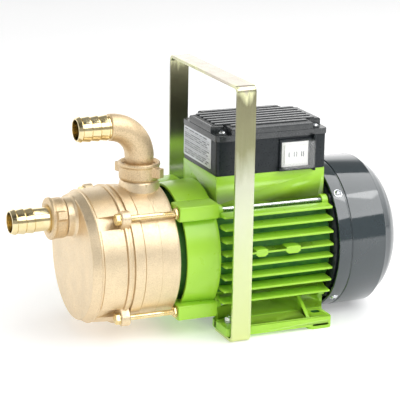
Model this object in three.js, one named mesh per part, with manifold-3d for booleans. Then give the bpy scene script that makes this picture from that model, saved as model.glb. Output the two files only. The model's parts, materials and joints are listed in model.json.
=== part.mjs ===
// Shallow well jet pump: a brass pump end bolted to a finned motor with a strap handle.
// Millimetres, +Z up, pump axis along X with the suction hose tail at -X and the fan at +X.
// The origin is under the middle of the pump, on the surface that it stands on.
import * as THREE from 'three';
import { mergeVertices } from 'three/addons/utils/BufferGeometryUtils.js';
import Module from 'manifold-3d';

const wasm = await Module();
wasm.setup();

// ---------------------------------------------------------------- driving dimensions
const GAP = 0.3; // clearance between neighbouring pieces
const FACETS = { drum: 32, ring: 18, small: 12, screw: 8 }; // sides of the round pieces, by size
const SHAFT_Z = 79; // height of the pump and motor axis
const HALF_LENGTH = 198; // hose tail mouth at -X, fan cover at +X

const DRUM = {
  front: -134.3, // flat front face
  shoulder: -124.9, // end of the tapered front band
  lip: -99.3, // front edge of the joint flange
  joint: -93.9, // parting plane between front cover and rear casing
  step: -82.2, // rear edge of the rear casing's flange
  rear: -44.8,
  faceRadius: 62.3,
  shoulderRadius: 66,
  lipRadius: 67.8,
  flangeRadius: 69.6,
  bodyRadius: 67.2,
  wall: 4,
};
const POCKET_FLOOR = 64.9; // radius of the flat floor in front of each bolt head
const BOLT = { offset: 52.9, rise: 50.6, radius: 2.9, head: -108.6, end: -30, seat: 4.2 };
const TIE_ROD = { offset: 49.4, rise: 49, radius: 2.5 };

const PORT = {
  spigotRadius: 19.2,
  threadRadius: 16.6,
  nutRadius: 20.5,
  nutBore: 17.1,
  nutLip: 3,
  bore: 10,
  nutLugReach: 27.7,
};
const SUCTION = { z: 121, nutFront: -159.4, nutRear: -143.8 };
const DISCHARGE = {
  x: -63.8,
  spigotTop: 153.2,
  nutBottom: 153.7,
  nutTop: 171.4,
  outletZ: 207.7,
  bend: 31,
  mouth: -130.2,
  tube: 14.2, // outside radius of the bend
};
const TAIL = { root: 12.1, barb: 12.9, mouth: 11.6 };
const NUT_TURN = { suction: 35, discharge: -57 }; // degrees the cast lugs are turned to when tight
const GASKET = { radius: 16.4, bore: 11.5, suctionThick: 1.3, dischargeThick: 2.7 };

const IMPELLER = { front: -62, rear: -53, radius: 52, hub: 12, vanes: 6 };
const SHAFT = {
  front: -70,
  shoulder: -64, // rear end of the threaded nose that carries the impeller nut
  coreFront: 13,
  coreRear: 109,
  rear: 152,
  noseRadius: 5,
  radius: 7,
  coreRadius: 12,
};
const IMPELLER_NUT = { front: -69.8, rear: -64.4, acrossFlats: 13 };
const SEAL = {
  headFront: -52.6,
  headRear: -49.6,
  headRadius: 11.5,
  seatFront: -49.2,
  seatRear: -44.9,
  seatRadius: 13.6,
};
const BEARING = {
  frontStart: -7.2,
  frontEnd: 3.5,
  frontRadius: 17.6,
  rearStart: 109.5,
  rearEnd: 120,
  rearRadius: 17.9,
};
const CORE = { front: 24, rear: 98, gapInner: 30.5, gapOuter: 31 }; // stator and rotor stacks
const WINDING = { front: 8, rear: 106, inner: 33, outer: 52 };

const BRACKET = {
  neckFront: -44.5,
  front: -37.4,
  rear: -2.5,
  neckRadius: 62.5,
  frontRadius: 65.6,
  rearRadius: 67.6,
  hub: 17,
};
const MOTOR = {
  front: -2.1,
  rear: 120.7,
  bore: 58,
  body: 63.5,
  finTip: 73,
  finPitch: 12.5,
  finCount: 8,
  finThick: 2.6,
  pedestalHalf: 42.5,
  pedestalTop: 159.4,
};
const FOOT = {
  front: 1.4,
  rear: 118,
  half: 76.8,
  bottom: 3.3,
  top: 11.8,
  web: 49,
  webThick: 5,
  padLength: 26,
  slotX: [12.7, 108],
  slotY: 58,
};
const SHIELD = { thick: 6.5, radius: 70, cup: 22.5, cupBore: 18.3, cupDepth: 14 };
const FAN_COVER = {
  front: 123.5,
  collar: 137.5,
  edge: 176.4,
  radius: 78,
  rearRadius: 56,
  wall: 2.2,
  screwRadius: 1.6,
};
const FAN = { front: 137, disc: 139.5, hubRear: 153, hub: 17, radius: 60, blades: 8 };

const BOX = { front: 1.5, rear: 121.2, half: 42.5, bottom: 159.7, rim: 197.7, lidTop: 208.4, wall: 2.6 };
const SWITCH = { front: 66.6, rear: 107.5, bottom: 158.8, top: 195, proud: 6 };
const GLAND_AT = [0, 22, 177]; // line of the cable gland in the box's rear wall
const GLAND_RADIUS = 8;
const ROCKER = { x: 86, z: 176.4, length: 25, height: 19, pivotY: -42 };
const WINDOW = { half: 15, halfHeight: 12 }; // opening in the box wall behind the rocker
const WIREWAY = { x: 60, radius: 9 };
const LID_SCREW = { inset: 9, insetY: 8.5, radius: 1.8, head: 3.6 };
const NAMEPLATE = { y: [-29, 40], z: [164, 195], proud: 0.8 };
const CAPACITOR = { y: 16, z: 179, front: 16, rear: 74, radius: 14 };

const HANDLE = {
  front: 2.7,
  width: 20,
  half: 85.4,
  top: 258.6,
  thick: 3,
  bend: 6.5,
  tabInner: 44,
  bolt: 2.9,
};

// ---------------------------------------------------------------- materials
const paint = (color, roughness, metalness) =>
  new THREE.MeshStandardMaterial({ color, roughness, metalness });
const material = {
  castBrass: () => paint(0xd9b878, 0.45, 0.9),
  machinedBrass: () => paint(0xe3c069, 0.18, 1),
  greenPaint: () => paint(0x8fd12a, 0.3, 0.1),
  blackGloss: () => paint(0x14181b, 0.15, 0),
  blackSatin: () => paint(0x1d2225, 0.45, 0),
  yellowZinc: () => paint(0xdcd39a, 0.3, 1),
  brightZinc: () => paint(0xc9ccd0, 0.25, 1),
  steel: () => paint(0x8d9094, 0.4, 1),
  copper: () => paint(0xb4643a, 0.4, 0.8),
  rubber: () => paint(0x18181a, 0.8, 0),
  resin: () => paint(0x202426, 0.5, 0),
  ceramic: () => paint(0xe8e4da, 0.3, 0),
  whitePlastic: () => paint(0xf2f2ee, 0.3, 0),
  clearPlastic: () => new THREE.MeshStandardMaterial({
    color: 0xdfe6e4,
    roughness: 0.1,
    transparent: true,
    opacity: 0.35,
  }),
  label: () => paint(0xc8ccd0, 0.4, 0.4),
};

// ---------------------------------------------------------------- solid helpers
// Turns a closed three.js geometry into a solid: welds it, drops collapsed triangles
// and faces it outwards.
function solid(geometry) {
  const bare = geometry.clone();
  bare.deleteAttribute('normal');
  bare.deleteAttribute('uv');
  const merged = mergeVertices(bare, 1e-4);
  const position = merged.attributes.position;
  const index = Array.from(merged.index.array);
  const triangles = [];
  for (let i = 0; i < index.length; i += 3) {
    const [a, b, c] = index.slice(i, i + 3);
    if (a !== b && b !== c && a !== c) triangles.push([a, b, c]);
  }
  const corner = (i) => new THREE.Vector3().fromBufferAttribute(position, i);
  let volume = 0;
  for (const [a, b, c] of triangles) volume += corner(a).dot(corner(b).cross(corner(c)));
  const facing = volume < 0 ? triangles.map(([a, b, c]) => [a, c, b]) : triangles;
  return new wasm.Manifold(new wasm.Mesh({
    numProp: 3,
    vertProperties: new Float32Array(position.array),
    triVerts: new Uint32Array(facing.flat()),
  }));
}

const join = (...solids) => solids.reduce((sum, next) => sum.add(next));
const cut = (from, ...tools) => tools.reduce((rest, tool) => rest.subtract(tool), from);

// A block between two corners.
function block([x0, x1], [y0, y1], [z0, z1]) {
  const geometry = new THREE.BoxGeometry(x1 - x0, y1 - y0, z1 - z0);
  return solid(geometry.translate((x0 + x1) / 2, (y0 + y1) / 2, (z0 + z1) / 2));
}

// Revolves an outline of [along, radius] points, listed once round, about an axis.
function revolve(outline, { axis = 'x', at = [0, 0, SHAFT_Z], segments = FACETS.drum } = {}) {
  const touchesAxis = outline[0][1] === 0;
  const loop = touchesAxis ? outline : [...outline, outline[0]];
  const profile = loop.map(([along, radius]) => new THREE.Vector2(radius, along));
  const geometry = new THREE.LatheGeometry(profile, segments);
  if (axis === 'x') geometry.rotateZ(-Math.PI / 2);
  if (axis === 'z') geometry.rotateX(Math.PI / 2);
  return solid(geometry.translate(...at));
}

// A plain or hollow cylinder between two stations on an axis.
function rod(axis, at, from, to, radius, segments = FACETS.small, inner = 0) {
  const outline = inner > 0
    ? [[from, inner], [from, radius], [to, radius], [to, inner]]
    : [[from, 0], [from, radius], [to, radius], [to, 0]];
  return revolve(outline, { axis, at, segments });
}

// Extrudes an outline of [u, v] points: along Z from a height, or along X with the outline in Y and Z.
function prism(points, direction, from, to, holes = []) {
  const vectors = (outline) => outline.map(([u, v]) => new THREE.Vector2(u, v));
  const shape = new THREE.Shape(vectors(points));
  for (const hole of holes) shape.holes.push(new THREE.Path(vectors(hole)));
  const geometry = new THREE.ExtrudeGeometry(shape, { depth: to - from, bevelEnabled: false });
  geometry.translate(0, 0, from);
  if (direction === 'x') geometry.rotateX(Math.PI / 2).rotateZ(Math.PI / 2);
  return solid(geometry);
}

// A rectangle with rounded corners as a list of points.
function roundedRectangle(u0, u1, v0, v1, radius, steps = 4) {
  const corners = [[u1 - radius, v0 + radius, -90], [u1 - radius, v1 - radius, 0],
    [u0 + radius, v1 - radius, 90], [u0 + radius, v0 + radius, 180]];
  return corners.flatMap(([u, v, start]) => Array.from({ length: steps + 1 }, (_, i) => {
    const angle = THREE.MathUtils.degToRad(start + (90 * i) / steps);
    return [u + radius * Math.cos(angle), v + radius * Math.sin(angle)];
  }));
}

// A slot outline: two half circles joined by straight sides along u.
function slotOutline(u, v, length, width, steps = 6) {
  const radius = width / 2;
  const reach = length / 2 - radius;
  return [-1, 1].flatMap((side) => Array.from({ length: steps + 1 }, (_, i) => {
    const angle = Math.PI * (i / steps) + (side > 0 ? -Math.PI / 2 : Math.PI / 2);
    return [u + side * reach + radius * Math.cos(angle), v + radius * Math.sin(angle)];
  }));
}

// A hexagonal prism along an axis.
function hexagon(axis, at, from, to, acrossFlats) {
  return rod(axis, at, from, to, acrossFlats / Math.sqrt(3), 6);
}

const pump = new THREE.Group();

// Adds a solid to the group as a named mesh.
function addPiece(name, shape, finish) {
  const mesh = shape.getMesh();
  const geometry = new THREE.BufferGeometry();
  const position = new THREE.BufferAttribute(new Float32Array(mesh.vertProperties), 3);
  geometry.setAttribute('position', position);
  geometry.setIndex(new THREE.BufferAttribute(new Uint32Array(mesh.triVerts), 1));
  geometry.computeVertexNormals();
  const piece = new THREE.Mesh(geometry, finish());
  piece.name = name;
  pump.add(piece);
}

// The four corners of a square pattern about the shaft axis: near or far side, upper or lower.
const CORNERS = [[-1, 1], [1, 1], [-1, -1], [1, -1]];

// A point on a bolt's or tie rod's line at one corner.
const cornerPoint = ([side, level], { offset, rise }) => [0, side * offset, SHAFT_Z + level * rise];

const shaftAt = [0, 0, SHAFT_Z];
const suctionAt = [0, 0, SUCTION.z];
const dischargeAt = [DISCHARGE.x, 0, 0];

// The convex solid round two others.
const hullOf = (a, b) => a.add(b).hull();

// ---------------------------------------------------------------- brass pump end
// Material around one bolt corner: a block that reaches from the drum out round the bolt.
function cornerLug(corner, [x0, x1]) {
  const inner = 0.72; // how far out the lug's root lies, as a share of the bolt's distance
  const rootPoint = cornerPoint(corner, { offset: BOLT.offset * inner, rise: BOLT.rise * inner });
  const tip = rod('x', cornerPoint(corner, BOLT), x0, x1, 8.8, FACETS.small);
  const root = rod('x', rootPoint, x0, x1, 10, FACETS.small);
  return hullOf(tip, root);
}

function frontCover() {
  const d = DRUM;
  const end = d.joint - GAP / 2;
  const lugFront = d.lip - BOLT.seat;
  const body = revolve([
    [d.front, 0], [d.front, d.faceRadius - 1.8],
    [d.front + 0.6, d.faceRadius - 0.5], [d.front + 2, d.faceRadius + 0.2],
    [d.shoulder, d.shoulderRadius - 0.5], [d.shoulder + 0.8, d.shoulderRadius + 0.4],
    [d.lip - 0.8, d.lipRadius], [d.lip, d.flangeRadius], [end, d.flangeRadius],
    [end, d.bodyRadius - d.wall], [d.front + d.wall + 6, d.shoulderRadius - d.wall - 2],
    [d.front + d.wall, d.faceRadius - d.wall - 4], [d.front + d.wall, 0],
  ], { segments: FACETS.drum });
  const lugs = CORNERS.map((corner) => cornerLug(corner, [lugFront, end]));
  // Pockets let a socket reach each bolt head; they have parallel walls and a flat floor.
  const pockets = CORNERS.map(([side, level]) => {
    const angle = Math.atan2(level * BOLT.rise, side * BOLT.offset);
    const start = d.shoulder + 1.4;
    const pocket = new THREE.BoxGeometry(lugFront - start, 16, 15);
    pocket.translate((lugFront + start) / 2, POCKET_FLOOR + 8, 0);
    pocket.rotateX(angle).translate(...shaftAt);
    return solid(pocket);
  });
  const boss = revolve([
    [SUCTION.nutRear + GAP, 0], [SUCTION.nutRear + GAP, PORT.spigotRadius - 1],
    [SUCTION.nutRear + 1.6, PORT.spigotRadius], [d.front + 2, PORT.spigotRadius + 0.8],
    [d.front + 2, 0],
  ], { at: suctionAt, segments: FACETS.ring });
  const threadFront = SUCTION.nutFront + 7.6;
  const thread = rod('x', suctionAt, threadFront, SUCTION.nutRear + 2, PORT.threadRadius, FACETS.ring);
  const bore = rod('x', suctionAt, threadFront - 9, d.front + 12, PORT.bore + 1, FACETS.ring);
  const bolts = CORNERS.map((corner) =>
    rod('x', cornerPoint(corner, BOLT), d.front, d.step, BOLT.radius + GAP, FACETS.screw));
  const shell = cut(join(cut(body, ...pockets), ...lugs), drumCavity(d.front + d.wall, end + 1));
  return cut(join(shell, boss, thread), bore, ...bolts);
}

// The free space inside the drum, so that lugs and bosses never fill it.
function drumCavity(from, to) {
  const d = DRUM;
  return revolve([
    [from, 0], [from, d.faceRadius - d.wall - 4], [from + 6, d.shoulderRadius - d.wall - 2],
    [to, d.bodyRadius - d.wall], [to, 0],
  ], { segments: FACETS.drum });
}

function rearCasing() {
  const d = DRUM;
  const start = d.joint + GAP / 2;
  const body = revolve([
    [start, d.bodyRadius - d.wall], [start, d.flangeRadius], [start + 2.5, d.flangeRadius - 0.2],
    [d.step, d.bodyRadius + 0.9], [d.step + 0.4, d.bodyRadius], [d.rear - 2, d.bodyRadius + 0.5],
    [d.rear, d.bodyRadius - 1.2], [d.rear, 14], [d.rear - d.wall, 14],
    [d.rear - d.wall, d.bodyRadius - d.wall],
  ], { segments: FACETS.drum });
  const at = dischargeAt;
  const neck = revolve([
    [SHAFT_Z + 56, 0], [SHAFT_Z + 56, PORT.spigotRadius + 2.6], [SHAFT_Z + 67, PORT.spigotRadius + 0.6],
    [DISCHARGE.spigotTop - 1.4, PORT.spigotRadius], [DISCHARGE.spigotTop, PORT.spigotRadius - 1.2],
    [DISCHARGE.spigotTop, 0],
  ], { axis: 'z', at, segments: FACETS.ring });
  const threadTop = DISCHARGE.nutTop - 9;
  const thread = rod('z', at, DISCHARGE.spigotTop - 2, threadTop, PORT.threadRadius, FACETS.ring);
  const cavityRadius = d.bodyRadius - d.wall;
  const cavity = rod('x', shaftAt, d.joint - 1, d.rear - d.wall, cavityRadius, FACETS.drum);
  const bore = rod('z', at, SHAFT_Z + 40, DISCHARGE.nutTop, PORT.bore + 1, FACETS.ring);
  const beyond = block([d.rear, d.rear + 20], [-30, 30], [SHAFT_Z, DISCHARGE.spigotTop + 1]);
  return cut(join(body, cut(join(neck, thread), cavity, beyond)), bore);
}

// Hose tail outline with saw-tooth barbs: the barbs fill the stretch next to the mouth.
function barbedOutline(mouth, root, barbs, pitch, inward) {
  const points = [[mouth, TAIL.mouth]];
  for (let i = 0; i < barbs; i += 1) {
    const foot = mouth + inward * pitch * (i + 1);
    points.push([foot, TAIL.barb], [foot + inward * 0.2, TAIL.root]);
  }
  points.push([root, TAIL.root]);
  return points;
}

function suctionTail() {
  const flange = SUCTION.nutFront + PORT.nutLip + GAP;
  const outline = [
    ...barbedOutline(-HALF_LENGTH, flange, 4, 6.4, 1),
    [flange, PORT.threadRadius], [flange + 2.4, PORT.threadRadius], [flange + 2.4, PORT.bore],
    [-HALF_LENGTH, PORT.bore],
  ];
  return revolve(outline, { at: suctionAt, segments: FACETS.ring });
}

// Union nut along an axis: threaded skirt, inward lip and two cast lugs for a spanner.
function unionNut(axis, at, open, closed, lugAngle, collarRadius) {
  const inward = Math.sign(closed - open);
  const lipStart = closed - inward * PORT.nutLip;
  const ring = revolve([
    [open, PORT.nutBore], [open, PORT.nutRadius - 0.8], [open + inward * 1.2, PORT.nutRadius],
    [closed - inward * 1.2, PORT.nutRadius], [closed, PORT.nutRadius - 1], [closed, collarRadius],
    [lipStart, collarRadius], [lipStart, PORT.nutBore],
  ], { axis, at, segments: FACETS.ring });
  const lugs = [0, 180].map((turn) => {
    const lug = new THREE.BoxGeometry(PORT.nutLugReach - 18.6, 8.5, 9);
    lug.translate((PORT.nutLugReach + 18.6) / 2, 0, 0);
    lug.rotateZ(THREE.MathUtils.degToRad(lugAngle + turn));
    if (axis === 'x') lug.rotateY(Math.PI / 2);
    const middle = (open + closed) / 2;
    lug.translate(...(axis === 'x' ? [middle, at[1], at[2]] : [at[0], at[1], middle]));
    return solid(lug);
  });
  return join(ring, ...lugs);
}

function dischargeElbow() {
  const { x, outletZ, bend } = DISCHARGE;
  const flange = DISCHARGE.nutTop - PORT.nutLip - GAP;
  const bendCurve = (fromZ, toX) => {
    const path = new THREE.CurvePath();
    const start = new THREE.Vector3(x, 0, fromZ);
    const low = new THREE.Vector3(x, 0, outletZ - bend);
    const high = new THREE.Vector3(x - bend, 0, outletZ);
    path.add(new THREE.LineCurve3(start, low));
    const arc = Array.from({ length: 25 }, (_, i) => {
      const angle = (Math.PI / 2) * (i / 24);
      const along = x - bend + bend * Math.cos(angle);
      return new THREE.Vector3(along, 0, outletZ - bend + bend * Math.sin(angle));
    });
    path.add(new THREE.CatmullRomCurve3(arc));
    path.add(new THREE.LineCurve3(high, new THREE.Vector3(toX, 0, outletZ)));
    return path;
  };
  const sweep = (radius, fromZ, toX, sides) => {
    const round = new THREE.Path().absarc(0, 0, radius, 0, 2 * Math.PI);
    const circle = new THREE.Shape(round.getPoints(sides).slice(0, -1));
    const extrudePath = bendCurve(fromZ, toX);
    return solid(new THREE.ExtrudeGeometry(circle, { extrudePath, steps: 10, curveSegments: sides }));
  };
  const body = sweep(DISCHARGE.tube, flange + 1, x - bend - 2, 12);
  const base = revolve([
    [flange - 2.4, 0], [flange - 2.4, PORT.threadRadius], [flange, PORT.threadRadius], [flange, 15.5],
    [flange + 8, 15.1], [flange + 14, 14.3], [flange + 14, 0],
  ], { axis: 'z', at: [x, 0, 0], segments: FACETS.ring });
  const tail = revolve([
    [DISCHARGE.x - bend, 0],
    [DISCHARGE.x - bend, 13.4], [DISCHARGE.x - bend - 1, 13.3], [DISCHARGE.x - bend - 1.2, TAIL.root],
    ...barbedOutline(DISCHARGE.mouth, DISCHARGE.mouth + 10, 4, 7, 1).reverse().slice(1),
    [DISCHARGE.mouth, 0],
  ], { at: [0, 0, outletZ], segments: FACETS.ring });
  const bore = join(
    sweep(PORT.bore, flange - 1, x - bend - 2, 10),
    rod('z', [x, 0, 0], flange - 6, flange + 2, PORT.bore, FACETS.small),
    rod('x', [0, 0, outletZ], DISCHARGE.mouth - 10, x - bend - 1, PORT.bore, FACETS.small),
  );
  return cut(join(body, base, tail), bore);
}

function casingBolt(corner) {
  const at = cornerPoint(corner, BOLT);
  return join(
    hexagon('x', at, BOLT.head, BOLT.head + 4.4, 10),
    rod('x', at, BOLT.head + 4, DRUM.lip - BOLT.seat - GAP, 6, FACETS.small),
    rod('x', at, BOLT.head + 4, BOLT.end, BOLT.radius, FACETS.screw),
  );
}

// ---------------------------------------------------------------- pump internals
function impeller() {
  const { front, rear, radius } = IMPELLER;
  const disc = rod('x', shaftAt, rear - 2.5, rear, radius, FACETS.ring);
  const hub = rod('x', shaftAt, front - 2, rear, IMPELLER.hub, FACETS.small);
  const vanes = Array.from({ length: IMPELLER.vanes }, (_, i) => {
    const vane = new THREE.BoxGeometry(rear - front - 1, 2.2, radius - 14);
    vane.translate((front + rear) / 2 - 0.6, 6, (radius + 10) / 2);
    vane.rotateX((i * 2 * Math.PI) / IMPELLER.vanes).translate(...shaftAt);
    return solid(vane);
  });
  const bore = rod('x', shaftAt, front - 5, rear + 5, SHAFT.radius + GAP, FACETS.small);
  return cut(join(disc, hub, ...vanes), bore);
}

function impellerNut() {
  const { front, rear, acrossFlats } = IMPELLER_NUT;
  const hole = rod('x', shaftAt, front - 2, rear + 4, SHAFT.noseRadius + GAP, FACETS.small);
  return cut(hexagon('x', shaftAt, front, rear, acrossFlats), hole);
}

function shaft() {
  const { front, shoulder, coreFront, coreRear, rear, noseRadius, radius, coreRadius } = SHAFT;
  return join(
    rod('x', shaftAt, front, shoulder, noseRadius, FACETS.small),
    rod('x', shaftAt, shoulder - 0.4, coreFront + 1, radius, FACETS.small),
    rod('x', shaftAt, coreFront, coreRear, coreRadius, FACETS.small),
    rod('x', shaftAt, coreRear - 1, rear, radius, FACETS.small),
  );
}

function diffuser() {
  return revolve([
    [-78, 16], [-78, 50], [-74, 58.5], [-70, 60.5], [-51, 60.5],
    [-51, 58], [-68, 58], [-72, 50], [-74, 16],
  ], { segments: FACETS.ring });
}

const venturiTube = () => revolve([
  [-112, 8], [-112, 11], [-104, 8.5], [-79, 12], [-78.6, 15.5], [-72.2, 15.5], [-72.2, 12], [-104, 5.5],
], { segments: FACETS.ring });

const jetNozzle = () => revolve([
  [-129.8, 10], [-129.8, 15], [-126.5, 15], [-126.5, 12], [-113, 6.5], [-113, 4.2], [-126.5, 9],
], { segments: FACETS.ring });

// ---------------------------------------------------------------- motor
function motorBracket() {
  const b = BRACKET;
  const drum = revolve([
    [b.neckFront, b.hub], [b.neckFront, b.neckRadius], [b.front, b.neckRadius],
    [b.front, b.frontRadius], [b.rear - 4, b.rearRadius], [b.rear, b.rearRadius],
    [b.rear, 20], [b.rear - 5, 20], [b.rear - 5, b.frontRadius - 5],
    [b.neckFront + 5, b.neckRadius - 5], [b.neckFront + 5, b.hub],
  ], { segments: FACETS.drum });
  const lugs = CORNERS.map(([side, level]) => {
    const [y0, y1] = [side * 43, side * 61].sort((p, q) => p - q);
    const z = SHAFT_Z + level * BOLT.rise;
    return block([b.neckFront, b.rear - 1], [y0, y1], [z - 7.6, z + 7.6]);
  });
  const cavity = revolve([
    [b.neckFront + 5, 0], [b.neckFront + 5, b.neckRadius - 5],
    [b.rear - 5, b.frontRadius - 5], [b.rear - 5, 0],
  ], { segments: FACETS.drum });
  const holes = CORNERS.map((corner) =>
    rod('x', cornerPoint(corner, BOLT), b.neckFront - 2, BOLT.end + 1, BOLT.radius + GAP, FACETS.screw));
  return cut(join(drum, ...lugs.map((lug) => cut(lug, cavity))), ...holes);
}

// An outline for one side's foot plate: from just inside the web out to the foot's edge.
function footOutline(side, front) {
  const f = FOOT;
  const inner = f.web - 12;
  const [y0, y1] = side > 0 ? [inner, f.half] : [-f.half, -inner];
  return roundedRectangle(front, f.rear, y0, y1, 4);
}

function motorHousing() {
  const m = MOTOR;
  const f = FOOT;
  const sides = [-1, 1];
  const body = rod('x', shaftAt, m.front, m.rear, m.body, FACETS.drum);
  const envelope = rod('x', shaftAt, m.front + 2, m.rear - 1, m.finTip, FACETS.drum);
  const fins = Array.from({ length: m.finCount }, (_, i) => {
    const z = SHAFT_Z + (i - (m.finCount - 1) / 2) * m.finPitch + 0.7;
    const span = [z - m.finThick / 2, z + m.finThick / 2];
    return block([m.front + 2, m.rear - 1], [-80, 80], span).intersect(envelope);
  });
  const bosses = [[36, 46], [66, 82]].map((length) =>
    block(length, [-m.finTip, -m.body], [SHAFT_Z + 4.2, SHAFT_Z + 10.4]));
  const width = [-m.pedestalHalf, m.pedestalHalf];
  const pedestal = block([f.front, m.rear], width, [SHAFT_Z + 40, m.pedestalTop]);
  const ends = CORNERS.flatMap((corner) => {
    const inset = 2.4;
    const at = cornerPoint(corner, { offset: TIE_ROD.offset - inset, rise: TIE_ROD.rise - inset });
    const stations = [[m.front, m.front + 7], [m.rear - 7, m.rear]];
    return stations.map(([x0, x1]) => rod('x', at, x0, x1, 7, FACETS.small));
  });
  const webs = sides.map((side) => {
    const [y0, y1] = [side * (f.web - f.webThick), side * f.web].sort((p, q) => p - q);
    return block([f.front, m.rear - 0.6], [y0, y1], [f.bottom, SHAFT_Z - 38]);
  });
  const plates = sides.map((side) => prism(footOutline(side, f.front), 'z', f.bottom, f.top));
  const rearPads = sides.map((side) =>
    prism(footOutline(side, f.rear - f.padLength), 'z', 0, f.bottom + 1));
  const gussets = sides.flatMap((side) => [[24, 28], [91, 95]].map(([x0, x1]) => prism([
    [side * (f.web - 1), f.top - 1], [side * (f.half - 6), f.top - 1],
    [side * (f.half - 6), f.top + 0.8], [side * (f.web - 1), f.top + 17],
  ], 'x', x0, x1)));
  const slots = sides.flatMap((side) => f.slotX.map((x) =>
    prism(slotOutline(x, side * f.slotY, 10, 7), 'z', -1, f.top + 1)));
  const bore = rod('x', shaftAt, m.front - 1, m.rear + 1, m.bore, FACETS.drum);
  const rodHoles = CORNERS.map((corner) =>
    rod('x', cornerPoint(corner, TIE_ROD), m.front - 1, m.rear + 1, TIE_ROD.radius + GAP, FACETS.screw));
  const wireway = rod('z', [WIREWAY.x, 0, 0], SHAFT_Z + 50, m.pedestalTop + 1, WIREWAY.radius);
  const upper = join(body, ...fins, ...bosses, pedestal, ...ends);
  const lower = join(...webs, ...plates, ...rearPads, ...gussets);
  return cut(join(upper, lower), bore, wireway, ...slots, ...rodHoles);
}

function rearShield() {
  const front = MOTOR.rear + GAP;
  const rear = MOTOR.rear + SHIELD.thick;
  const disc = revolve([
    [front, 22], [front, SHIELD.radius - 2], [rear, SHIELD.radius], [rear, 22],
  ], { segments: FACETS.drum });
  const { cup: cupRadius, cupBore, cupDepth } = SHIELD;
  const cup = rod('x', shaftAt, MOTOR.rear - cupDepth, rear, cupRadius, FACETS.ring, cupBore);
  const ears = CORNERS.map((corner) => rod('x', cornerPoint(corner, TIE_ROD), front, rear, 5.6));
  const holes = CORNERS.map((corner) =>
    rod('x', cornerPoint(corner, TIE_ROD), front - 1, rear + 2, TIE_ROD.radius + GAP, FACETS.screw));
  return cut(join(disc, cup, ...ears), ...holes);
}

function tieRod(corner) {
  const at = cornerPoint(corner, TIE_ROD);
  const seat = MOTOR.rear + SHIELD.thick;
  return join(
    rod('x', at, MOTOR.front + GAP, seat + 0.7, TIE_ROD.radius, FACETS.screw),
    hexagon('x', at, seat + GAP, seat + 3.5, 8),
  );
}

function fanCover() {
  const c = FAN_COVER;
  const w = c.wall;
  const shell = revolve([
    [c.front, c.radius - w], [c.front, c.radius - 0.5], [c.front + 0.5, c.radius],
    [c.collar - 0.7, c.radius], [c.collar, c.radius - 0.7], [c.collar + 0.7, c.radius],
    [c.edge - 2, c.radius], [c.edge, c.radius - 1.2], [c.edge + 8, c.radius - 6.5],
    [c.edge + 15, c.radius - 14],
    [HALF_LENGTH - 1.6, c.rearRadius + 1.6], [HALF_LENGTH, c.rearRadius - 1.5], [HALF_LENGTH, 0],
    [HALF_LENGTH - w, 0], [HALF_LENGTH - w, c.rearRadius - 2.6], [c.edge + 13.5, c.radius - 16.2],
    [c.edge + 6.5, c.radius - 9], [c.edge - 2, c.radius - w - 1],
  ].reverse(), { segments: FACETS.drum });
  const slots = Array.from({ length: 12 }, (_, i) => {
    const slot = new THREE.BoxGeometry(8, 5, 28);
    slot.translate(HALF_LENGTH, 0, 34).rotateX((i * Math.PI) / 6).translate(...shaftAt);
    return solid(slot);
  });
  const holes = CORNERS.map((corner) => radialRod(corner, c.screwRadius + GAP, 60, 90));
  return cut(shell, ...slots, ...holes);
}

// A rod that points at the shaft axis, 45 degrees round the fan cover's front collar.
function radialRod([side, level], radius, inner, outer) {
  const screw = new THREE.CylinderGeometry(radius, radius, outer - inner, FACETS.screw);
  screw.translate(0, (inner + outer) / 2, 0);
  const angle = Math.atan2(level, side) - Math.PI / 2;
  screw.rotateX(angle).translate(FAN_COVER.front + 7, 0, SHAFT_Z);
  return solid(screw);
}

function coverScrew(corner) {
  const { radius, screwRadius } = FAN_COVER;
  return join(
    radialRod(corner, screwRadius, radius - 3, radius + 1),
    radialRod(corner, 3.6, radius + GAP, radius + 2.6),
  );
}

function coolingFan() {
  const { front, disc, hubRear, hub, radius, blades } = FAN;
  const blade = (i) => {
    const plate = new THREE.BoxGeometry(18, 2.4, 50);
    plate.translate(146, 0, 40).rotateX((i * 2 * Math.PI) / blades).translate(...shaftAt);
    return solid(plate);
  };
  const wheel = join(
    rod('x', shaftAt, front, hubRear, hub, FACETS.ring),
    rod('x', shaftAt, front, disc, radius, FACETS.drum),
    ...Array.from({ length: blades }, (_, i) => blade(i)),
  );
  return cut(wheel, rod('x', shaftAt, front - 7, SHAFT.rear + GAP, SHAFT.radius + GAP, FACETS.small));
}

// ---------------------------------------------------------------- handle
function handleStrap() {
  const h = HANDLE;
  const { half, top, thick, bend, tabInner } = h;
  const arc = (y, z, radius, start, end) => Array.from({ length: 7 }, (_, i) => {
    const angle = THREE.MathUtils.degToRad(start + ((end - start) * i) / 6);
    return [y + radius * Math.cos(angle), z + radius * Math.sin(angle)];
  });
  const inner = bend - thick;
  const outline = [
    [-tabInner, 0],
    ...arc(-(half - bend), bend, bend, 270, 180),
    ...arc(-(half - bend), top - bend, bend, 180, 90),
    ...arc(half - bend, top - bend, bend, 90, 0),
    ...arc(half - bend, bend, bend, 360, 270),
    [tabInner, 0], [tabInner, thick],
    ...arc(half - bend, bend, inner, 270, 360),
    ...arc(half - bend, top - bend, inner, 0, 90),
    ...arc(-(half - bend), top - bend, inner, 90, 180),
    ...arc(-(half - bend), bend, inner, 180, 270),
    [-tabInner, thick],
  ];
  const strap = prism(outline, 'x', h.front, h.front + h.width);
  const holes = [-1, 1].map((side) => rod('z', strapBoltAt(side), -1, 5, 3.3, FACETS.small));
  return cut(strap, ...holes);
}

// The strap is bolted through the front slots of the feet.
const strapBoltAt = (side) => [FOOT.slotX[0], side * FOOT.slotY, 0];

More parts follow.
